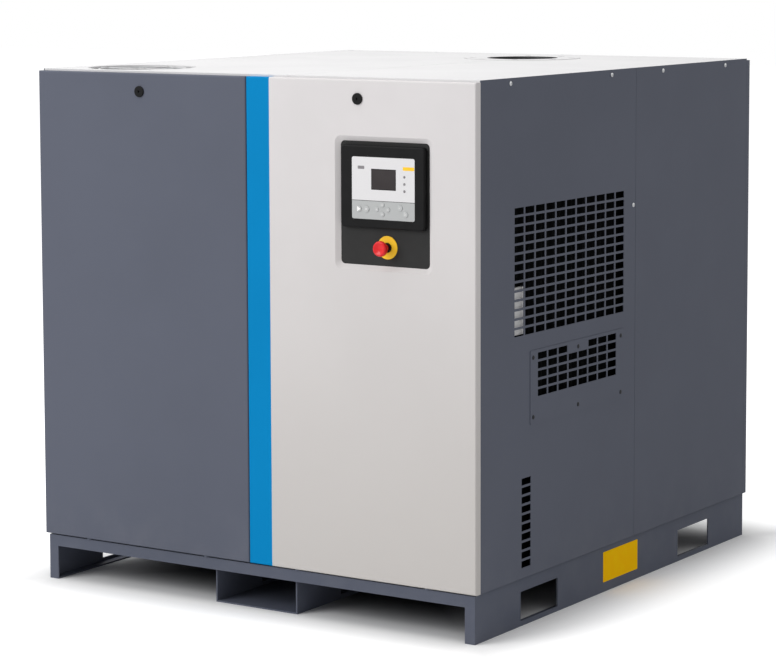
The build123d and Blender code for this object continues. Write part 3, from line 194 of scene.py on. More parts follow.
class Net:
    """The node net of one material, with a Principled shader at its end."""

    def __init__(self, name: str) -> None:
        """Start an empty material of that name."""
        self.material = bpy.data.materials.new(name)
        self.material.use_nodes = True
        self.tree = self.material.node_tree
        self.tree.nodes.clear()
        self.shader = self.tree.nodes.new("ShaderNodeBsdfPrincipled")
        out = self.tree.nodes.new("ShaderNodeOutputMaterial")
        self.tree.links.new(self.shader.outputs[0], out.inputs["Surface"])
        self._object: Signal | None = None

    def node(self, kind: str, settings: dict[str, Any] | None = None, inputs: dict[Any, Any] | None = None,
             output: int | str = 0) -> Signal:
        """Add a node.

        Args:
            kind: The node's type.
            settings: Its own settings; a ramp's stops are the entry "stops".
            inputs: A signal or a constant for each socket, by name or number.
            output: Which output to return.

        Returns:
            That output as a signal.
        """
        made = self.tree.nodes.new(kind)
        for key, value in (settings or {}).items():
            if key == "stops":
                for stop, (place, colour) in zip(made.color_ramp.elements, value):
                    stop.position = place
                    stop.color = (*colour, 1.0)
            else:
                setattr(made, key, value)
        for key, value in (inputs or {}).items():
            self.feed(made.inputs[key], value)
        return Signal(self, made.outputs[output])

    def feed(self, socket: bpy.types.NodeSocket, value: Any) -> None:
        """Link a signal to a socket, or set a constant on it."""
        if isinstance(value, Signal):
            self.tree.links.new(value.socket, socket)
        elif isinstance(value, tuple) and len(value) == 3 and socket.type == "RGBA":
            socket.default_value = (*value, 1.0)
        else:
            socket.default_value = value

    def place(self) -> Signal:
        """The piece's own coordinates, in metres."""
        if self._object is None:
            self._object = self.node("ShaderNodeTexCoord", output="Object")
        return self._object

    def axes(self) -> tuple[Signal, Signal, Signal]:
        """X, Y and Z of the piece's own coordinates."""
        split = self.tree.nodes.new("ShaderNodeSeparateXYZ")
        self.tree.links.new(self.place().socket, split.inputs[0])
        return tuple(Signal(self, out) for out in split.outputs)

    def noise(self, scale: float, detail: float = 3.0, roughness: float = 0.5) -> Signal:
        """Even noise from 0 to 1, with scale features in a metre."""
        return self.node("ShaderNodeTexNoise", inputs={
            "Vector": self.place(), "Scale": scale, "Detail": detail, "Roughness": roughness})

    def mix(self, factor: Any, first: Any, second: Any) -> Signal:
        """Mix two colours."""
        return self.node("ShaderNodeMix", {"data_type": "RGBA"}, {0: factor, 6: first, 7: second}, output=2)

    def bump(self, height: Signal, depth: float, strength: float = 1.0) -> None:
        """Feed a height from 0 to 1 to the shader's normal, depth metres deep."""
        normal = self.node("ShaderNodeBump", inputs={
            "Height": height, "Distance": depth, "Strength": strength})
        self.feed(self.shader.inputs["Normal"], normal)

    def finish(self, **sockets: Any) -> bpy.types.Material:
        """Set the shader's sockets, named with _ for a space, and return the material."""
        for key, value in sockets.items():
            self.feed(self.shader.inputs[key.replace("_", " ")], value)
        return self.material


# ---- finishes


@dataclass(frozen=True)
class PowderCoat:
    """Baked powder paint on sheet steel: orange peel, faint unevenness and dust low down."""

    name: str
    colour: Colour
    roughness: float = 0.52
    peel: float = 0.00006
    dust: float = 0.06
    shine: float = 0.12

    def base(self, net: Net) -> Signal:
        """Colour of the coat with its unevenness and dust.

        Args:
            net: The net of the material.

        Returns:
            The colour as a signal.
        """
        cloudy = net.noise(2.2, 4.0, 0.6)
        shade = tuple(channel * 0.97 for channel in self.colour)
        bright = tuple(min(channel * 1.03, 1.0) for channel in self.colour)
        paint = net.mix(cloudy.ramp(0.30, 0.70), shade, bright)
        _, _, up = net.axes()
        low = (1 - up.ramp(0.0, DUST_HEIGHT)) * net.noise(9.0, 5.0, 0.65).ramp(0.38, 0.75) * self.dust
        return net.mix(low, paint, DUST_GREY)

    def dress(self, net: Net, colour: Signal) -> bpy.types.Material:
        """Add the coat's gloss and orange peel to a colour."""
        fine = net.noise(420.0, 2.0, 0.45)
        net.bump(fine, self.peel, 0.55)
        rough = self.roughness + (net.noise(5.0, 3.0) - 0.5) * 0.10 + (fine - 0.5) * 0.06
        return net.finish(Base_Color=colour, Roughness=rough, Specular_IOR_Level=self.shine)

    def build(self) -> bpy.types.Material:
        """Make the material."""
        net = Net(self.name)
        return self.dress(net, self.base(net))


@dataclass(frozen=True)
class StripedCoat(PowderCoat):
    """Powder coat with a blue band along the panel's inner edge, and painted shade that makes it greyer
    towards the floor.
    """

    band: Colour = STRIPE_BLUE
    width: float = STRIPE_WIDTH
    # Painted shade: the colour the coat darkens to at the floor.
    low: Colour = LIGHT_GREY_PAINTED_SHADE

    def build(self) -> bpy.types.Material:
        """Make the material, the band reaching over the bent edge."""
        net = Net(self.name)
        across, _, up = net.axes()
        # Painted shade: the coat darkens smoothly towards the floor.
        coat_with_painted_shade = net.mix(up.ramp(0.0, STRIPED_PANEL_SHADE_HEIGHT), self.low, self.base(net))
        patchy = net.mix(net.noise(3.0).ramp(0.3, 0.7), tuple(c * 0.95 for c in self.band), self.band)
        return self.dress(net, net.mix(across < self.width, coat_with_painted_shade, patchy))


@dataclass(frozen=True)
class BoredCoat(PowderCoat):
    """Coat on a flanged pipe with painted shade in its bore."""

    axis: tuple[float, float] = (0.0, 0.0)
    bore: float = 0.1
    # Painted shade: the near-black colour of the bore.
    inside: Colour = (0.045, 0.046, 0.048)

    def build(self) -> bpy.types.Material:
        """Make the material, with painted shade inside the bore."""
        net = Net(self.name)
        across, along, _ = net.axes()
        away = ((across - self.axis[0]) ** 2 + (along - self.axis[1]) ** 2).root()
        # Painted shade: the bore is painted near-black with a faint mottle.
        dark = net.mix(net.noise(14.0).ramp(0.3, 0.7), self.inside, tuple(c * 1.8 for c in self.inside))
        return self.dress(net, net.mix(away < self.bore, self.base(net), dark))


@dataclass(frozen=True)
class Moulded:
    """Moulded plastic with a fine spark-eroded grain."""

    name: str
    colour: Colour
    roughness: float = 0.5
    grain: float = 0.00004
    coat: float = 0.0
    shine: float = 0.2

    def build(self) -> bpy.types.Material:
        """Make the material."""
        net = Net(self.name)
        fine = net.noise(1500.0, 2.0)
        worn = net.noise(24.0, 4.0, 0.6).ramp(0.35, 0.8)
        tone = net.mix(worn, self.colour, tuple(min(c * 1.10 + 0.002, 1.0) for c in self.colour))
        net.bump(fine, self.grain, 0.5)
        return net.finish(Base_Color=tone, Roughness=self.roughness + (worn - 0.5) * 0.08,
                          Coat_Weight=self.coat, Coat_Roughness=0.15, Specular_IOR_Level=self.shine)


@dataclass(frozen=True)
class FacePlate:
    """Printed face of the controller: pale field above, darker key band below a fine groove painted dark as
    shade.
    """

    name: str
    split: float
    field: Colour = (0.70, 0.69, 0.70)
    band: Colour = (0.42, 0.43, 0.43)

    def build(self) -> bpy.types.Material:
        """Make the material."""
        net = Net(self.name)
        _, _, up = net.axes()
        speck = net.noise(700.0, 2.0).ramp(0.2, 0.8) * 0.06
        plain = net.mix(up > self.split, self.band, self.field)
        # Painted shade: a thin near-black line along the groove between field and band.
        groove = (up > self.split - 0.8 * MM) * (up < self.split + 0.8 * MM)
        tone = net.mix(groove, net.mix(speck, plain, (0.30, 0.30, 0.31)), (0.08, 0.08, 0.08))
        net.bump(net.noise(1100.0, 1.0), 0.00003, 0.4)
        return net.finish(Base_Color=tone, Roughness=0.42 + speck)


@dataclass(frozen=True)
class Metal:
    """Bare or plated metal with patches of grain."""

    name: str
    colour: Colour
    roughness: float = 0.34
    spangle: float = 160.0
    contrast: float = 0.25

    def build(self) -> bpy.types.Material:
        """Make the material."""
        net = Net(self.name)
        patch = net.node("ShaderNodeTexVoronoi", inputs={"Vector": net.place(), "Scale": self.spangle},
                         output="Color")
        grey = net.node("ShaderNodeSeparateColor", inputs={0: patch})
        tone = net.mix(grey * self.contrast, self.colour, tuple(c * 0.55 for c in self.colour))
        streak = net.noise(320.0, 4.0, 0.6)
        net.bump(streak, 0.00004, 0.35)
        return net.finish(Base_Color=tone, Metallic=1.0, Roughness=self.roughness + (streak - 0.5) * 0.18)


@dataclass(frozen=True)
class Casting:
    """Painted sand casting with a pebbled skin."""

    name: str
    colour: Colour

    def build(self) -> bpy.types.Material:
        """Make the material."""
        net = Net(self.name)
        pebble = net.noise(240.0, 5.0, 0.6)
        oily = net.noise(11.0, 4.0, 0.6).ramp(0.5, 0.8)
        tone = net.mix(oily * 0.5, self.colour, tuple(c * 0.45 for c in self.colour))
        net.bump(pebble, 0.0006, 0.5)
        return net.finish(Base_Color=tone, Roughness=0.58 - oily * 0.2)


@dataclass(frozen=True)
class Foam:
    """Open-cell sound foam, nearly black: its own dark colour, painted darker as the shade inside the canopy.
    """

    name: str
    # Painted shade: near-black, for the foam's own dark colour and the shade behind the grilles.
    colour: Colour = (0.0035, 0.0038, 0.0042)

    def build(self) -> bpy.types.Material:
        """Make the material."""
        net = Net(self.name)
        cells = net.node("ShaderNodeTexVoronoi", inputs={"Vector": net.place(), "Scale": 420.0},
                         output="Distance")
        net.bump(cells, 0.001, 0.8)
        # Painted shade: the foam is darker in the pits of its cells.
        tone = net.mix(cells.ramp(0.1, 0.7), tuple(c * 0.4 for c in self.colour), self.colour)
        return net.finish(Base_Color=tone, Roughness=0.95, Specular_IOR_Level=0.05)


@dataclass(frozen=True)
class Screen:
    """Switched-off display behind a glossy window, with a paler printed rim."""

    name: str
    centre: tuple[float, float]
    half: tuple[float, float]

    def build(self) -> bpy.types.Material:
        """Make the material."""
        net = Net(self.name)
        across, _, up = net.axes()
        from_x = net.node("ShaderNodeMath", {"operation": "ABSOLUTE"}, {0: across - self.centre[0]})
        from_z = net.node("ShaderNodeMath", {"operation": "ABSOLUTE"}, {0: up - self.centre[1]})
        inner = (from_x < self.half[0] - 2.2 * MM) * (from_z < self.half[1] - 2.2 * MM)
        sheen = net.noise(20.0, 2.0).ramp(0.2, 0.8)
        dark = net.mix(sheen, (0.042, 0.036, 0.037), (0.048, 0.042, 0.043))
        tone = net.mix(inner, (0.022, 0.020, 0.021), dark)
        return net.finish(Base_Color=tone, Roughness=0.28 + sheen * 0.06, Specular_IOR_Level=0.1)


class Finishes:
    """Every material of the machine, made once."""

    def __init__(self) -> None:
        """Build the materials that the CAD nodes and the pieces share."""
        inlet_low, inlet_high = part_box("inlet_pipe")
        inlet = (inlet_low + inlet_high) / 2
        screen_low, screen_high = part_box("display_screen")
        middle = (screen_low + screen_high) / 2
        face_low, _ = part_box("controller_face")
        self.dark = PowderCoat("dark_grey_powder_coat", DARK_GREY).build()
        self.base = PowderCoat("base_frame_powder_coat", BASE_GREY, dust=0.04).build()
        self.light = PowderCoat("light_grey_powder_coat", ROOF_GREY, dust=0.0, shine=0.2).build()
        self.striped = StripedCoat("light_panel_with_blue_band", LIGHT_GREY, dust=0.03, shine=0.05).build()
        self.inner = PowderCoat("inner_frame_powder_coat", (0.05, 0.053, 0.058), roughness=0.6).build()
        self.inlet = BoredCoat("inlet_pipe_coat", ROOF_GREY, dust=0.0, axis=(inlet.x, inlet.y),
                               bore=INLET_BORE_SHADE_RADIUS).build()
        self.zinc = Metal("zinc_plate", (0.68, 0.69, 0.70)).build()
        self.steel = Metal("ground_steel", (0.56, 0.57, 0.59), 0.28, 60.0, 0.12).build()
        self.aluminium = Metal("mill_aluminium", (0.76, 0.77, 0.78), 0.4, 300.0, 0.15).build()
        self.casting = Casting("painted_casting", (0.12, 0.14, 0.17)).build()
        self.motor = Casting("motor_paint", (0.09, 0.115, 0.15)).build()
        self.black = Moulded("black_moulding", (0.0075, 0.0075, 0.0078), 0.52, shine=0.1).build()
        self.plate = Moulded("black_control_plate", (0.026, 0.026, 0.026), 0.56, shine=0.12).build()
        self.face = FacePlate("controller_print", face_low.z + KEY_BAND_HEIGHT).build()
        self.screen = Screen("display_window", (middle.x, middle.z),
                             (screen_high.x - middle.x, screen_high.z - middle.z)).build()
        self.yellow = Moulded("signal_yellow", (0.93, 0.56, 0.03), 0.42).build()
        self.red = Moulded("signal_red", (0.70, 0.012, 0.016), 0.34, coat=0.25).build()
        self.key = Moulded("key_rubber", (0.46, 0.47, 0.47), 0.55).build()
        self.symbol = Moulded("white_symbol", (0.88, 0.88, 0.87), 0.5).build()
        self.faint = Moulded("pale_symbol", (0.62, 0.62, 0.62), 0.5).build()
        self.amber = Moulded("amber_film", (1.0, 0.54, 0.0), 0.6, 0.00002, shine=0.02).build()
        self.lamp = Moulded("smoked_lamp", (0.23, 0.22, 0.23), 0.2, coat=0.6).build()
        self.foam = Foam("sound_foam").build()
        self.screw_black = Metal("blackened_screw", (0.035, 0.036, 0.040), 0.42, 300.0, 0.2).build()

    def dress_nodes(self) -> None:
        """Give every carried-over CAD node its material."""
        groups: dict[bpy.types.Material, tuple[str, ...]] = {
            self.dark: ("left_front_panel", "right_side_front_panel", "right_side_rear_panel",
                        "left_side_front_panel", "left_side_rear_panel", "rear_left_panel",
                        "rear_right_panel", "right_side_grille_plate"),
            self.striped: ("right_front_panel",),
            self.base: ("left_base_skirt", "right_base_skirt", "base_cross_beams", "centre_fork_channel",
                        "floor_plate"),
            self.light: ("left_roof_panel", "right_roof_panel", "fan_guard"),
            self.inlet: ("inlet_pipe",),
            self.inner: ("frame_posts", "top_rails", "electrical_cubicle", "separator_tank", "separator_lid"),
            self.zinc: ("fan_shroud", "exhaust_pipe", "discharge_pipe", "panel_screws"),
            self.steel: ("rotor_bearings", "motor_rotor", "male_rotor", "female_rotor", "inlet_valve_disc"),
            self.aluminium: ("oil_cooler", "cooling_fan_impeller"),
            self.casting: ("inlet_valve_body", "screw_element_casing", "bell_housing", "oil_filter"),
            self.motor: ("motor_housing", "motor_fan_cowl"),
            self.plate: ("control_plate", "control_box"),
            self.black: ("controller_housing", "emergency_stop_collar", "motor_fan", "left_lock",
                         "right_lock"),
            self.face: ("controller_face",),
            self.screen: ("display_screen",),
            self.yellow: ("emergency_stop_ring",),
            self.red: ("emergency_stop_head", "emergency_stop_plunger"),
            self.key: tuple(f"{mark.name.lower()}_key" for mark in Mark),
        }
        for material, names in groups.items():
            for name in names:
                dress(NODES[name], material)
                log.info("dressed %s in %s", name, material.name)


# ---- mesh helpers


def dress(piece: bpy.types.Object, material: bpy.types.Material) -> None:
    """Put one material on every face of a piece."""
    piece.data.materials.clear()
    piece.data.materials.append(material)
    for face in piece.data.polygons:
        face.material_index = 0


def to_object(name: str, shape: bmesh.types.BMesh, material: bpy.types.Material,
              smooth: bool = False) -> bpy.types.Object:
    """Turn a bmesh into an object at the origin.

    Args:
        name: The piece's name.
        shape: Its mesh, in the part's frame; it is freed.
        material: Its finish.
        smooth: Whether its faces are shaded smooth.

    Returns:
        The new object.
    """
    bmesh.ops.recalc_face_normals(shape, faces=shape.faces)
    mesh = bpy.data.meshes.new(name)
    shape.to_mesh(mesh)
    shape.free()
    piece = bpy.data.objects.new(name, mesh)
    bpy.context.scene.collection.objects.link(piece)
    piece.data.materials.append(material)
    if smooth:
        mesh.shade_smooth()
    return piece


def plate_mesh(outline: Sequence[tuple[float, float]], turn: Matrix, thickness: float,
               bevel: float = 0.0) -> bmesh.types.BMesh:
    """Flat plate from an outline, its face looking along the local +Z of turn.

    Args:
        outline: Corners in order, in the plate's own plane.
        turn: Place and direction of the plate.
        thickness: How far it stands up from its plane.
        bevel: Width of the chamfer on its edges, or 0.

    Returns:
        The plate's mesh in the part's frame.
    """
    shape = bmesh.new()
    face = shape.faces.new([shape.verts.new((x, y, 0.0)) for x, y in outline])
    grown = bmesh.ops.extrude_face_region(shape, geom=[face])["geom"]
    top = [item for item in grown if isinstance(item, bmesh.types.BMVert)]
    bmesh.ops.translate(shape, vec=(0.0, 0.0, thickness), verts=top)
    if bevel:
        rim = [edge for edge in shape.edges if all(vert in top for vert in edge.verts)]
        bmesh.ops.bevel(shape, geom=rim, offset=bevel, segments=2, affect="EDGES", profile=0.5)
    bmesh.ops.transform(shape, matrix=turn, verts=shape.verts)
    return shape


def rounded(width: float, height: float, radius: float, steps: int = 6) -> list[tuple[float, float]]:
    """Outline of a rectangle with round corners, about the origin."""
    corners = ((1, 1, 0), (-1, 1, 90), (-1, -1, 180), (1, -1, 270))
    outline = []
    for sign_x, sign_y, start in corners:
        for step in range(steps + 1):
            angle = math.radians(start + 90 * step / steps)
            outline.append((sign_x * (width / 2 - radius) + radius * math.cos(angle),
                            sign_y * (height / 2 - radius) + radius * math.sin(angle)))
    return outline


def turned(profile: Sequence[tuple[float, float]], turn: Matrix, steps: int = 48) -> bmesh.types.BMesh:
    """Closed solid of revolution about the local Z of turn.

    Args:
        profile: (radius, height) from the bottom of the axis to the top; both ends are on the axis.
        turn: Place and direction of the axis.
        steps: Facets round the axis.

    Returns:
        The mesh in the part's frame.
    """
    shape = bmesh.new()
    rings: list[list[bmesh.types.BMVert]] = []
    for radius, height in profile:
        if radius < 1e-7:
            rings.append([shape.verts.new((0.0, 0.0, height))])
            continue
        angles = [2 * math.pi * k / steps for k in range(steps)]
        rings.append([shape.verts.new((radius * math.cos(angle), radius * math.sin(angle), height))
                      for angle in angles])
    for lower, upper in zip(rings, rings[1:]):
        for k in range(steps):
            following = (k + 1) % steps
            corners = [lower[k % len(lower)], lower[following % len(lower)],
                       upper[following % len(upper)], upper[k % len(upper)]]
            shape.faces.new(list(dict.fromkeys(corners)))
    bmesh.ops.transform(shape, matrix=turn, verts=shape.verts)
    return shape


def join_meshes(shapes: Iterable[bmesh.types.BMesh]) -> bmesh.types.BMesh:
    """One bmesh from several, which are freed."""
    whole = bmesh.new()
    for shape in shapes:
        part = bpy.data.meshes.new("part")
        shape.to_mesh(part)
        shape.free()
        whole.from_mesh(part)
        bpy.data.meshes.remove(part)
    return whole


# ---- geometry nodes


class Tree:
    """A Geometry Nodes tree whose sizes are named inputs."""

    def __init__(self, name: str, inputs: Sequence[tuple[str, str]]) -> None:
        """Start a tree with a geometry input and output, and the named inputs with their socket types."""
        self.group = bpy.data.node_groups.new(name, "GeometryNodeTree")
        face = self.group.interface
        face.new_socket("Geometry", in_out="INPUT", socket_type="NodeSocketGeometry")
        self.sockets = {label: face.new_socket(label, in_out="INPUT", socket_type=kind)
                        for label, kind in inputs}
        face.new_socket("Geometry", in_out="OUTPUT", socket_type="NodeSocketGeometry")
        self.start = self.group.nodes.new("NodeGroupInput")
        self.end = self.group.nodes.new("NodeGroupOutput")

    def node(self, kind: str, settings: dict[str, Any] | None = None,
             links: dict[Any, Any] | None = None) -> bpy.types.Node:
        """Add a node, its settings first and then a socket or a constant for each input."""
        made = self.group.nodes.new(kind)
        for key, value in (settings or {}).items():
            setattr(made, key, value)
        for key, value in (links or {}).items():
            if isinstance(value, bpy.types.NodeSocket):
                self.group.links.new(value, made.inputs[key])
            else:
                made.inputs[key].default_value = value
        return made

    def close(self, geometry: bpy.types.NodeSocket) -> None:
        """End the tree in Realize Instances and Set Material."""
        real = self.node("GeometryNodeRealizeInstances", links={0: geometry})
        painted = self.node("GeometryNodeSetMaterial", links={0: real.outputs[0],
                                                              "Material": self.start.outputs["Material"]})
        self.group.links.new(painted.outputs[0], self.end.inputs[0])

    def apply(self, seed: bpy.types.Object, name: str, values: dict[str, Any]) -> bpy.types.Object:
        """Run the tree on a seed object and keep the result as a plain mesh.

        Args:
            seed: Object that carries the modifier; it is removed.
            name: Name of the new piece.
            values: A value for each named input.

        Returns:
            The finished piece, with no modifier.
        """
        modifier = seed.modifiers.new("nodes", "NODES")
        modifier.node_group = self.group
        for label, value in values.items():
            modifier[self.sockets[label].identifier] = value
        bpy.context.view_layer.update()
        graph = bpy.context.evaluated_depsgraph_get()
        mesh = bpy.data.meshes.new_from_object(seed.evaluated_get(graph))
        mesh.name = name
        piece = bpy.data.objects.new(name, mesh)
        bpy.context.scene.collection.objects.link(piece)
        bpy.data.objects.remove(seed)
        return piece


def fastener_tree() -> Tree:
    """Tree that sets a head on every point of a mesh."""
    tree = Tree("fasteners", (("Head", "NodeSocketObject"), ("Turn", "NodeSocketVector"),
                              ("Material", "NodeSocketMaterial")))
    points = tree.node("GeometryNodeMeshToPoints", links={"Mesh": tree.start.outputs["Geometry"]})
    head = tree.node("GeometryNodeObjectInfo", links={"Object": tree.start.outputs["Head"]})
    twist = tree.node("FunctionNodeRandomValue", {"data_type": "FLOAT_VECTOR"},
                      {0: (0.0, 0.0, 0.0), 1: tree.start.outputs["Turn"], "Seed": 7})
    laid = tree.node("GeometryNodeInstanceOnPoints", links={
        "Points": points.outputs[0], "Instance": head.outputs["Geometry"], "Rotation": twist.outputs[0]})
    tree.close(laid.outputs[0])
    return tree


def foam_tree() -> Tree:
    """Tree that makes a sheet of wedge foam: a grid raised into rounded ridges, with a flat back."""
    tree = Tree("wedge_foam", (("Length", "NodeSocketFloat"), ("Height", "NodeSocketFloat"),
                               ("Pitch", "NodeSocketFloat"), ("Depth", "NodeSocketFloat"),
                               ("Material", "NodeSocketMaterial")))
    grid = tree.node("GeometryNodeMeshGrid", links={
        "Size X": tree.start.outputs["Length"], "Size Y": tree.start.outputs["Height"], "Vertices X": 161,
        "Vertices Y": 2})
    place = tree.node("GeometryNodeInputPosition")
    split = tree.node("ShaderNodeSeparateXYZ", links={0: place.outputs[0]})
    turns = tree.node("ShaderNodeMath", {"operation": "DIVIDE"}, {0: split.outputs[0],
                                                                  1: tree.start.outputs["Pitch"]})
    phase = tree.node("ShaderNodeMath", {"operation": "MULTIPLY"}, {0: turns.outputs[0], 1: 2 * math.pi})
    wave = tree.node("ShaderNodeMath", {"operation": "SINE"}, {0: phase.outputs[0]})
    lift = tree.node("ShaderNodeMath", {"operation": "MULTIPLY"}, {0: wave.outputs[0],
                                                                   1: tree.start.outputs["Depth"]})
    offset = tree.node("ShaderNodeCombineXYZ", links={2: lift.outputs[0]})
    raised = tree.node("GeometryNodeSetPosition", links={
        "Geometry": grid.outputs[0], "Offset": offset.outputs[0]})
    solid = tree.node("GeometryNodeExtrudeMesh", links={
        "Mesh": raised.outputs[0], "Offset": (0.0, 0.0, -1.0), "Offset Scale": 4 * MM, "Individual": False})
    back = tree.node("GeometryNodeFlipFaces", links={0: raised.outputs[0]})
    both = tree.node("GeometryNodeJoinGeometry")
    tree.group.links.new(solid.outputs[0], both.inputs[0])
    tree.group.links.new(back.outputs[0], both.inputs[0])
    merged = tree.node("GeometryNodeMergeByDistance", links={0: both.outputs[0], "Distance": 1e-6})
    tree.close(merged.outputs[0])
    return tree


# ---- sub-assemblies


@dataclass
class Fasteners:
    """Pan-head screws of the canopy, the hatch and the roof."""

    finishes: Finishes
    head_radius: float = 6.0 * MM
    head_height: float = 2.9 * MM
    low_height: float = 1.4 * MM
    roof_height: float = 0.9 * MM
    cross_width: float = 1.5 * MM
    cross_length: float = 6.4 * MM
    cad_height: float = 3.0 * MM
    row_level: float = 1.416
    row_places: tuple[float, ...] = (-0.611, -0.075, 0.223, 0.613)
    seam_place: tuple[float, float] = (0.051, 1.054)
    hatch_inset_y: float = 15 * MM
    hatch_inset_z: float = 19 * MM
    roof_inset: float = 24 * MM
    roof_middle: float = -0.36

    def head(self, name: str, facing: Facing, height: float) -> bpy.types.Object:
        """One domed head with a cross recess, looking along facing.

        Args:
            name: Name of the pattern object.
            facing: The way the head looks.
            height: How far it stands up from the sheet.

        Returns:
            The pattern, which the caller removes when it is used up.
        """
        radius = self.head_radius
        profile = [(0.0, 0.0), (radius, 0.0), (radius, height * 0.35), (radius * 0.93, height * 0.62),
                   (radius * 0.72, height * 0.88), (radius * 0.4, height), (0.0, height)]
        domed = turned(profile, Matrix.Identity(4), 20)
        body = to_object(name, domed, self.finishes.zinc)
        cutter = to_object(name + "_cross", self.cross(height), self.finishes.zinc)
        carve = body.modifiers.new("cross", "BOOLEAN")
        carve.object = cutter
        carve.operation = "DIFFERENCE"
        bpy.context.view_layer.update()
        graph = bpy.context.evaluated_depsgraph_get()
        cut = bpy.data.meshes.new_from_object(body.evaluated_get(graph))
        cut.transform(facing.turn())
        bpy.data.objects.remove(body)
        bpy.data.objects.remove(cutter)
        pattern = bpy.data.objects.new(name, cut)
        bpy.context.scene.collection.objects.link(pattern)
        return pattern

    def cross(self, height: float) -> bmesh.types.BMesh:
        """Cross-shaped cutter in the upper half of a head of that height."""
        long, wide = self.cross_length / 2, self.cross_width / 2
        outline = [(long, -wide), (long, wide), (wide, wide), (wide, long), (-wide, long),
                   (-wide, wide), (-long, wide), (-long, -wide), (-wide, -wide), (-wide, -long),
                   (wide, -long), (wide, -wide)]
        return plate_mesh(outline, Matrix.Translation((0, 0, height * 0.5)), height)

    def group(self, name: str, points: Sequence[Point], facing: Facing, material: bpy.types.Material,
              height: float) -> bpy.types.Object:
        """Set a head on each point.

        Args:
            name: Name of the piece.
            points: Where the heads sit.
            facing: The way they look.
            material: Their finish.
            height: How far they stand up from the sheet.

        Returns:
            The piece with all the heads.
        """
        seed_mesh = bpy.data.meshes.new(name + "_points")
        seed_mesh.from_pydata([tuple(point) for point in points], [], [])
        seed = bpy.data.objects.new(name + "_seed", seed_mesh)
        bpy.context.scene.collection.objects.link(seed)
        pattern = self.head(name + "_head", facing, height)
        spread = tuple(2 * math.pi * axis for axis in facing.value)
        piece = fastener_tree().apply(seed, name, {"Head": pattern, "Turn": spread, "Material": material})
        bpy.data.objects.remove(pattern)
        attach(piece, MACHINE)
        log.info("fasteners %s: %d heads", name, len(points))
        return piece

    def build(self) -> None:
        """Make every group of screws."""
        _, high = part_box("panel_screws")
        side = high.x - self.cad_height
        right = [(side, y, self.row_level) for y in self.row_places] + [(side, *self.seam_place)]
        left = [(-side, y, self.row_level) for y in self.row_places]
        zinc = self.finishes.zinc
        heads = self.group("right_panel_screws", right, Facing.RIGHT, zinc, self.head_height)
        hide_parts("panel_screws")
        self.group("left_panel_screws", left, Facing.LEFT, zinc, self.head_height)
        hatch_low, hatch_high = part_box("right_side_grille_plate")
        middle = (hatch_low.y + hatch_high.y) / 2
        columns = (hatch_low.y + self.hatch_inset_y, middle, hatch_high.y - self.hatch_inset_y)
        levels = (hatch_low.z + self.hatch_inset_z, hatch_high.z - self.hatch_inset_z)
        hatch = [(hatch_high.x, y, z) for y in columns for z in levels]
        dark = self.finishes.screw_black
        self.group("hatch_screws", hatch, Facing.RIGHT, dark, self.low_height)
        roof_low, roof_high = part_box("left_roof_panel")
        _, roof_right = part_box("right_roof_panel")
        edge = self.roof_inset
        rows = (roof_low.x + edge, self.roof_middle, roof_high.x - edge, roof_right.x - edge)
        roof = [(x, y, roof_high.z) for x in rows for y in (roof_low.y + edge, roof_high.y - edge)]
        self.group("roof_screws", roof, Facing.UP, zinc, self.roof_height)


@dataclass
class Lining:
    """Sound foam behind the grilles; its near-black sheets are also painted shade that keeps the inside dark.
    """

    finishes: Finishes
    pitch: float = 32 * MM
    depth: float = 2.2 * MM
    side_gap: float = 9 * MM
    rear_gap: float = 6 * MM
    side_middle: float = -0.330
    side_length: float = 0.740
    right_level: float = 0.640
    right_height: float = 1.020
    left_level: float = 0.800
    left_height: float = 0.700
    rear_level: float = 0.930
    rear_length: float = 0.500
    rear_height: float = 0.360

    def sheet(self, name: str, centre: Point, length: float, height: float, facing: Facing) -> None:
        """One sheet of wedge foam.

        Args:
            name: Name of the piece.
            centre: Middle of the sheet.
            length: Its horizontal length.
            height: Its height.
            facing: The way its ridges look.
        """
        seed = bpy.data.objects.new(name + "_seed", bpy.data.meshes.new(name + "_seed"))
        bpy.context.scene.collection.objects.link(seed)
        piece = foam_tree().apply(seed, name, {"Length": length, "Height": height, "Pitch": self.pitch,
                                               "Depth": self.depth, "Material": self.finishes.foam})
        across = {Facing.RIGHT: 90, Facing.LEFT: -90, Facing.REAR: 180}[facing]
        stand = Matrix.Rotation(math.radians(across), 4, "Z") @ UPRIGHT
        piece.data.transform(Matrix.Translation(centre) @ stand)
        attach(piece, MACHINE)
        log.info("lining %s", name)

    def build(self) -> None:
        """Line both sides and the rear grille."""
        _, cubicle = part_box("electrical_cubicle")
        _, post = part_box("frame_posts")
        side = cubicle.x + self.side_gap
        right = (side, self.side_middle, self.right_level)
        left = (-side, self.side_middle, self.left_level)
        rear = (CAD_BOX[1].x / 2, post.y + self.rear_gap, self.rear_level)
        self.sheet("right_side_foam", right, self.side_length, self.right_height, Facing.RIGHT)
        self.sheet("left_side_foam", left, self.side_length, self.left_height, Facing.LEFT)
        self.sheet("rear_foam", rear, self.rear_length, self.rear_height, Facing.REAR)


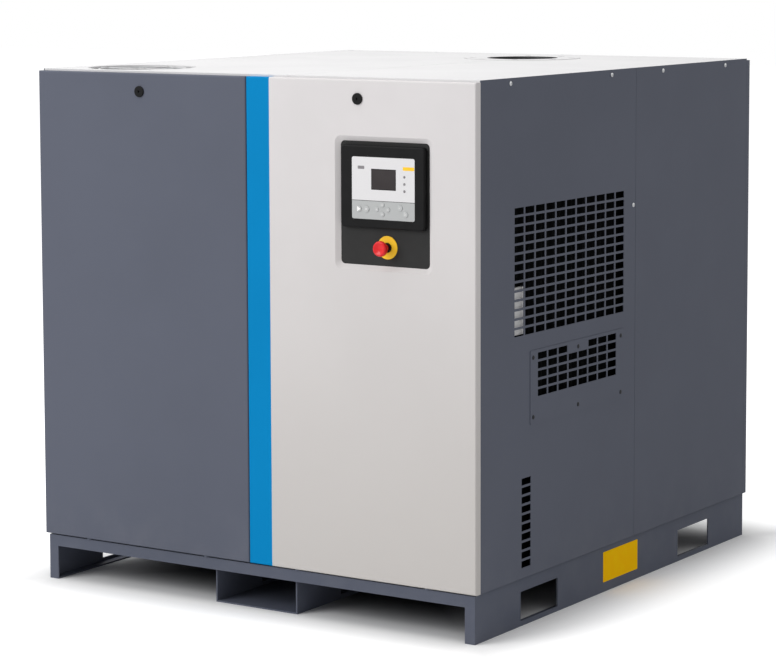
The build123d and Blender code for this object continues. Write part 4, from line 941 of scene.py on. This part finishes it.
@dataclass
class Controller:
    """Symbols, lamps and the plain tags of the control panel."""

    finishes: Finishes
    symbol_rise: float = 0.25 * MM
    symbol_share: float = 0.24
    start_share: float = 0.42
    lamp_count: int = 3
    lamp_aside: float = 25.5 * MM
    lamp_drop: float = 17.5 * MM
    lamp_pitch: float = 18.2 * MM
    tag_rise: float = 0.2 * MM
    tag_corner: float = 1.5 * MM

    def outline(self, mark: Mark, size: float) -> list[tuple[float, float]]:
        """Outline of a key's symbol, in the key's own plane.

        Args:
            mark: Which symbol.
            size: Half of its width.

        Returns:
            Its corners in order.
        """
        arrow = [(size, 0.0), (-size * 0.6, size), (-size * 0.6, -size)]
        quarter = {Mark.RIGHT: 0, Mark.START: 0, Mark.UP: 90, Mark.LEFT: 180, Mark.DOWN: 270}
        if mark in quarter:
            angle = math.radians(quarter[mark])
            return [(x * math.cos(angle) - y * math.sin(angle), x * math.sin(angle) + y * math.cos(angle))
                    for x, y in arrow]
        if mark is Mark.STOP:
            return rounded(size * 1.7, size * 1.7, size * 0.8)
        if mark is Mark.ENTER:
            return [(-size, 0.0), (-size * 0.2, -size * 0.8), (size, size * 0.7), (size * 0.7, size),
                    (-size * 0.2, -size * 0.2), (-size * 0.7, size * 0.3)]
        thick = size * 0.3
        return [(-size, -size + thick), (-thick, 0.0), (-size, size - thick), (-size + thick, size),
                (0.0, thick), (size - thick, size), (size, size - thick), (thick, 0.0),
                (size, -size + thick), (size - thick, -size), (0.0, -thick), (-size + thick, -size)]

    def symbol(self, mark: Mark) -> None:
        """Raise a symbol on its key."""
        key = f"{mark.name.lower()}_key"
        low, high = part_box(key)
        middle = (low + high) / 2
        size = (high.x - low.x) * (self.start_share if mark is Mark.START else self.symbol_share)
        turn = Matrix.Translation((middle.x, low.y, middle.z)) @ UPRIGHT
        shape = plate_mesh(self.outline(mark, size), turn, self.symbol_rise)
        finish = self.finishes.symbol if mark is Mark.START else self.finishes.faint
        piece = to_object(f"{mark.name.lower()}_symbol", shape, finish)
        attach(piece, key)

    def lamps(self) -> None:
        """Indicator lamps and their rims, beside the display."""
        face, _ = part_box("controller_face")
        _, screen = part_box("display_screen")
        across = screen.x + self.lamp_aside
        profile = [(0.0, -0.2 * MM), (3.4 * MM, -0.2 * MM), (3.4 * MM, 0.5 * MM), (2.6 * MM, 0.5 * MM),
                   (2.2 * MM, 0.9 * MM), (1.2 * MM, 1.5 * MM), (0.0, 1.7 * MM)]
        shapes = []
        for step in range(self.lamp_count):
            height = screen.z - self.lamp_drop - step * self.lamp_pitch
            shapes.append(turned(profile, Matrix.Translation((across, face.y, height)) @ UPRIGHT, 20))
        piece = to_object("indicator_lamps", join_meshes(shapes), self.finishes.lamp, smooth=True)
        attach(piece, MACHINE)

    def tags(self) -> None:
        """Plain yellow tag in the face's top corner, and a grey one opposite."""
        low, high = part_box("controller_face")
        right_corner = Matrix.Translation((high.x - 18 * MM, low.y, high.z - 26 * MM)) @ UPRIGHT
        left_corner = Matrix.Translation((low.x + 28 * MM, low.y, high.z - 27 * MM)) @ UPRIGHT
        yellow = plate_mesh(rounded(34 * MM, 9 * MM, self.tag_corner), right_corner, self.tag_rise)
        piece = to_object("yellow_tag", yellow, self.finishes.yellow)
        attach(piece, MACHINE)
        grey = plate_mesh(rounded(20 * MM, 8 * MM, self.tag_corner), left_corner, self.tag_rise)
        other = to_object("grey_tag", grey, self.finishes.lamp)
        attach(other, MACHINE)

    def build(self) -> None:
        """Make the controller's small pieces."""
        for mark in Mark:
            self.symbol(mark)
        self.lamps()
        self.tags()
        log.info("controller dressed")


@dataclass
class StopButton:
    """Mushroom head of the emergency stop, in place of the plain CAD head."""

    finishes: Finishes
    rim_steps: int = 5
    facets: int = 64

    def build(self) -> None:
        """Turn the head: flared skirt, rounded rim and dished face."""
        low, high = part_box("emergency_stop_head")
        middle = (low + high) / 2
        length = high.y - low.y
        radius = (high.x - low.x) / 2
        profile = [(0.0, 0.0), (radius * 0.53, 0.0), (radius * 0.54, length * 0.20),
                   (radius * 0.60, length * 0.36), (radius * 0.76, length * 0.46),
                   (radius * 0.95, length * 0.53), (radius, length * 0.60), (radius, length * 0.76)]
        for step in range(1, self.rim_steps + 1):
            angle = math.radians(90 * step / self.rim_steps)
            profile.append((radius * (0.78 + 0.22 * math.cos(angle)),
                            length * (0.76 + 0.24 * math.sin(angle))))
        profile += [(radius * 0.66, length * 0.97), (radius * 0.45, length * 0.90),
                    (radius * 0.2, length * 0.87), (0.0, length * 0.86)]
        axis = Matrix.Translation((middle.x, high.y, middle.z)) @ UPRIGHT
        head = turned(profile, axis, self.facets)
        piece = to_object("stop_button_cap", head, self.finishes.red, smooth=True)
        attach(piece, "emergency_stop_head")
        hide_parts("emergency_stop_head")
        log.info("stop button turned")


@dataclass
class BaseMarks:
    """Plain amber plate on the skirt and the pale strip behind the big grille."""

    finishes: Finishes
    length: float = 199 * MM
    height: float = 84 * MM
    middle: tuple[float, float] = (2 * MM, 69 * MM)
    rise: float = 0.5 * MM
    edge: float = 0.15 * MM
    corner: float = 3 * MM
    strip_width: float = 54 * MM
    strip_height: float = 124 * MM
    strip_depth: float = 8 * MM
    strip_inset: float = 21 * MM
    strip_middle: tuple[float, float] = (-0.549, 0.828)

    def build(self) -> None:
        """Make both pieces."""
        _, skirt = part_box("right_base_skirt")
        turn = Matrix.Translation((skirt.x, *self.middle)) @ SIDEWAYS
        shape = plate_mesh(rounded(self.length, self.height, self.corner), turn, self.rise, self.edge)
        plate = to_object("amber_plate", shape, self.finishes.amber)
        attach(plate, MACHINE)
        place = Matrix.Translation((CAD_BOX[1].x - self.strip_inset, *self.strip_middle)) @ SIDEWAYS
        outline = rounded(self.strip_width, self.strip_height, self.corner)
        bar = plate_mesh(outline, place, self.strip_depth, MM)
        strip = to_object("cable_duct_strip", bar, self.finishes.light)
        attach(strip, MACHINE)
        log.info("base marks made")


@dataclass
class Studio:
    """Camera, pale floor and plain soft light."""

    azimuth: float = 33.151
    elevation: float = 5.589
    roll: float = -0.191
    eye: Point = (4.2112, -6.5466, 1.7618)
    lens: float = 126.31
    shift: float = -0.15
    key_power: float = 338.0
    ambient: float = 0.53
    floor_glow: float = 0.62
    top_share: float = 0.30
    sensor: float = 36.0
    sight: float = 100.0
    floor_half: float = 30.0
    # Painted shade and painted shadow: distances from the footprint over which the floor's dark colour and
    # the held-back glow fade out.
    shade_reach: tuple[float, float] = (-0.35, 0.02)
    painted_shadow_reach: tuple[float, float] = (-0.04, 0.26)

    def camera(self) -> None:
        """Set the camera at the viewing angle."""
        data = bpy.data.cameras.new("camera")
        data.lens = self.lens
        data.sensor_width = self.sensor
        data.shift_y = self.shift
        data.clip_end = self.sight
        body = bpy.data.objects.new("camera", data)
        bpy.context.scene.collection.objects.link(body)
        heading = Matrix.Rotation(math.radians(self.azimuth), 4, "Z")
        tilt = Matrix.Rotation(math.radians(90 - self.elevation), 4, "X")
        lean = Matrix.Rotation(math.radians(self.roll), 4, "Z")
        body.matrix_world = Matrix.Translation(self.eye) @ heading @ tilt @ lean
        bpy.context.scene.camera = body

    def area(self, name: str, place: Point, aim: Point, size: float, power: float) -> None:
        """One square soft light.

        Args:
            name: Its name.
            place: Where it hangs.
            aim: The point it looks at.
            size: Length of its side.
            power: Its power in watts.
        """
        data = bpy.data.lights.new(name, "AREA")
        data.shape = "SQUARE"
        data.size = size
        data.energy = power
        lamp = bpy.data.objects.new(name, data)
        bpy.context.scene.collection.objects.link(lamp)
        lamp.location = place
        lamp.rotation_mode = "QUATERNION"
        lamp.rotation_quaternion = (Vector(aim) - Vector(place)).to_track_quat("-Z", "Y")

    def world(self) -> None:
        """Even surroundings, white where the camera or a reflection sees them."""
        scene = bpy.context.scene
        scene.world = bpy.data.worlds.new("surroundings")
        scene.world.use_nodes = True
        tree = scene.world.node_tree
        tree.nodes.clear()
        path = tree.nodes.new("ShaderNodeLightPath")
        seen: bpy.types.NodeSocket | None = None
        for ray in ("Is Camera Ray", "Is Glossy Ray", "Is Transmission Ray"):
            if seen is None:
                seen = path.outputs[ray]
                continue
            either = tree.nodes.new("ShaderNodeMath")
            either.operation = "MAXIMUM"
            tree.links.new(seen, either.inputs[0])
            tree.links.new(path.outputs[ray], either.inputs[1])
            seen = either.outputs[0]
        strength = tree.nodes.new("ShaderNodeMapRange")
        strength.inputs["To Min"].default_value = self.ambient
        strength.inputs["To Max"].default_value = 1.0
        tree.links.new(seen, strength.inputs["Value"])
        sky = tree.nodes.new("ShaderNodeBackground")
        sky.inputs["Color"].default_value = (1.0, 1.0, 1.0, 1.0)
        tree.links.new(strength.outputs[0], sky.inputs["Strength"])
        out = tree.nodes.new("ShaderNodeOutputWorld")
        tree.links.new(sky.outputs[0], out.inputs["Surface"])

    def floor(self) -> None:
        """Wide pale floor: painted shade under the machine, a short soft painted shadow round it, white
        further off.
        """
        shape = bmesh.new()
        bmesh.ops.create_grid(shape, x_segments=1, y_segments=1, size=self.floor_half)
        net = Net("pale_floor")
        across, along, _ = net.axes()
        beyond_x = net.node("ShaderNodeMath", {"operation": "ABSOLUTE"}, {0: across}) - CAD_BOX[1].x
        beyond_y = net.node("ShaderNodeMath", {"operation": "ABSOLUTE"}, {0: along}) - CAD_BOX[1].y
        away = net.node("ShaderNodeMath", {"operation": "MAXIMUM"}, {0: beyond_x, 1: beyond_y})
        smudge = net.noise(0.6).ramp(0.2, 0.8) * 0.01
        pale = net.mix(smudge, (0.93, 0.93, 0.93), (0.80, 0.80, 0.80))
        # Painted shade: the floor's colour is dark under the machine's footprint and pale beyond it.
        tone = net.mix(away.ramp(*self.shade_reach), (0.10, 0.10, 0.10), pale)
        seen = net.node("ShaderNodeLightPath", output="Is Camera Ray")
        net.finish(Base_Color=tone, Roughness=0.9, Specular_IOR_Level=0.0)
        # Painted shadow: the camera-only glow is held back near the machine and fades in further off.
        lift = away.ramp(*self.painted_shadow_reach)
        glow = net.mix(lift * seen, (0.0, 0.0, 0.0), (1.0, 1.0, 1.0))
        net.finish(Emission_Color=glow, Emission_Strength=self.floor_glow)
        ground = to_object("floor", shape, net.material)

    def build(self) -> None:
        """Set up the whole studio."""
        self.camera()
        self.world()
        self.floor()
        self.area("front_light", (-3.6, -7.0, 4.6), (-0.2, -0.4, 0.7), 4.5, self.key_power)
        self.area("top_light", (-0.5, -0.6, 5.2), (0.0, 0.0, 1.4), 4.0,
                  self.key_power * self.top_share)
        bpy.context.scene.view_settings.view_transform = "Standard"


def main() -> None:
    """Build every sub-assembly in order."""
    logging.basicConfig(level=logging.INFO, format="%(name)s: %(message)s")
    Studio().build()
    finishes = Finishes()
    finishes.dress_nodes()
    builders: tuple[Callable[[], None], ...] = (
        Fasteners(finishes).build,
        Lining(finishes).build,
        Controller(finishes).build,
        StopButton(finishes).build,
        BaseMarks(finishes).build,
    )
    for build in builders:
        build()


if __name__ == "__main__":
    main()
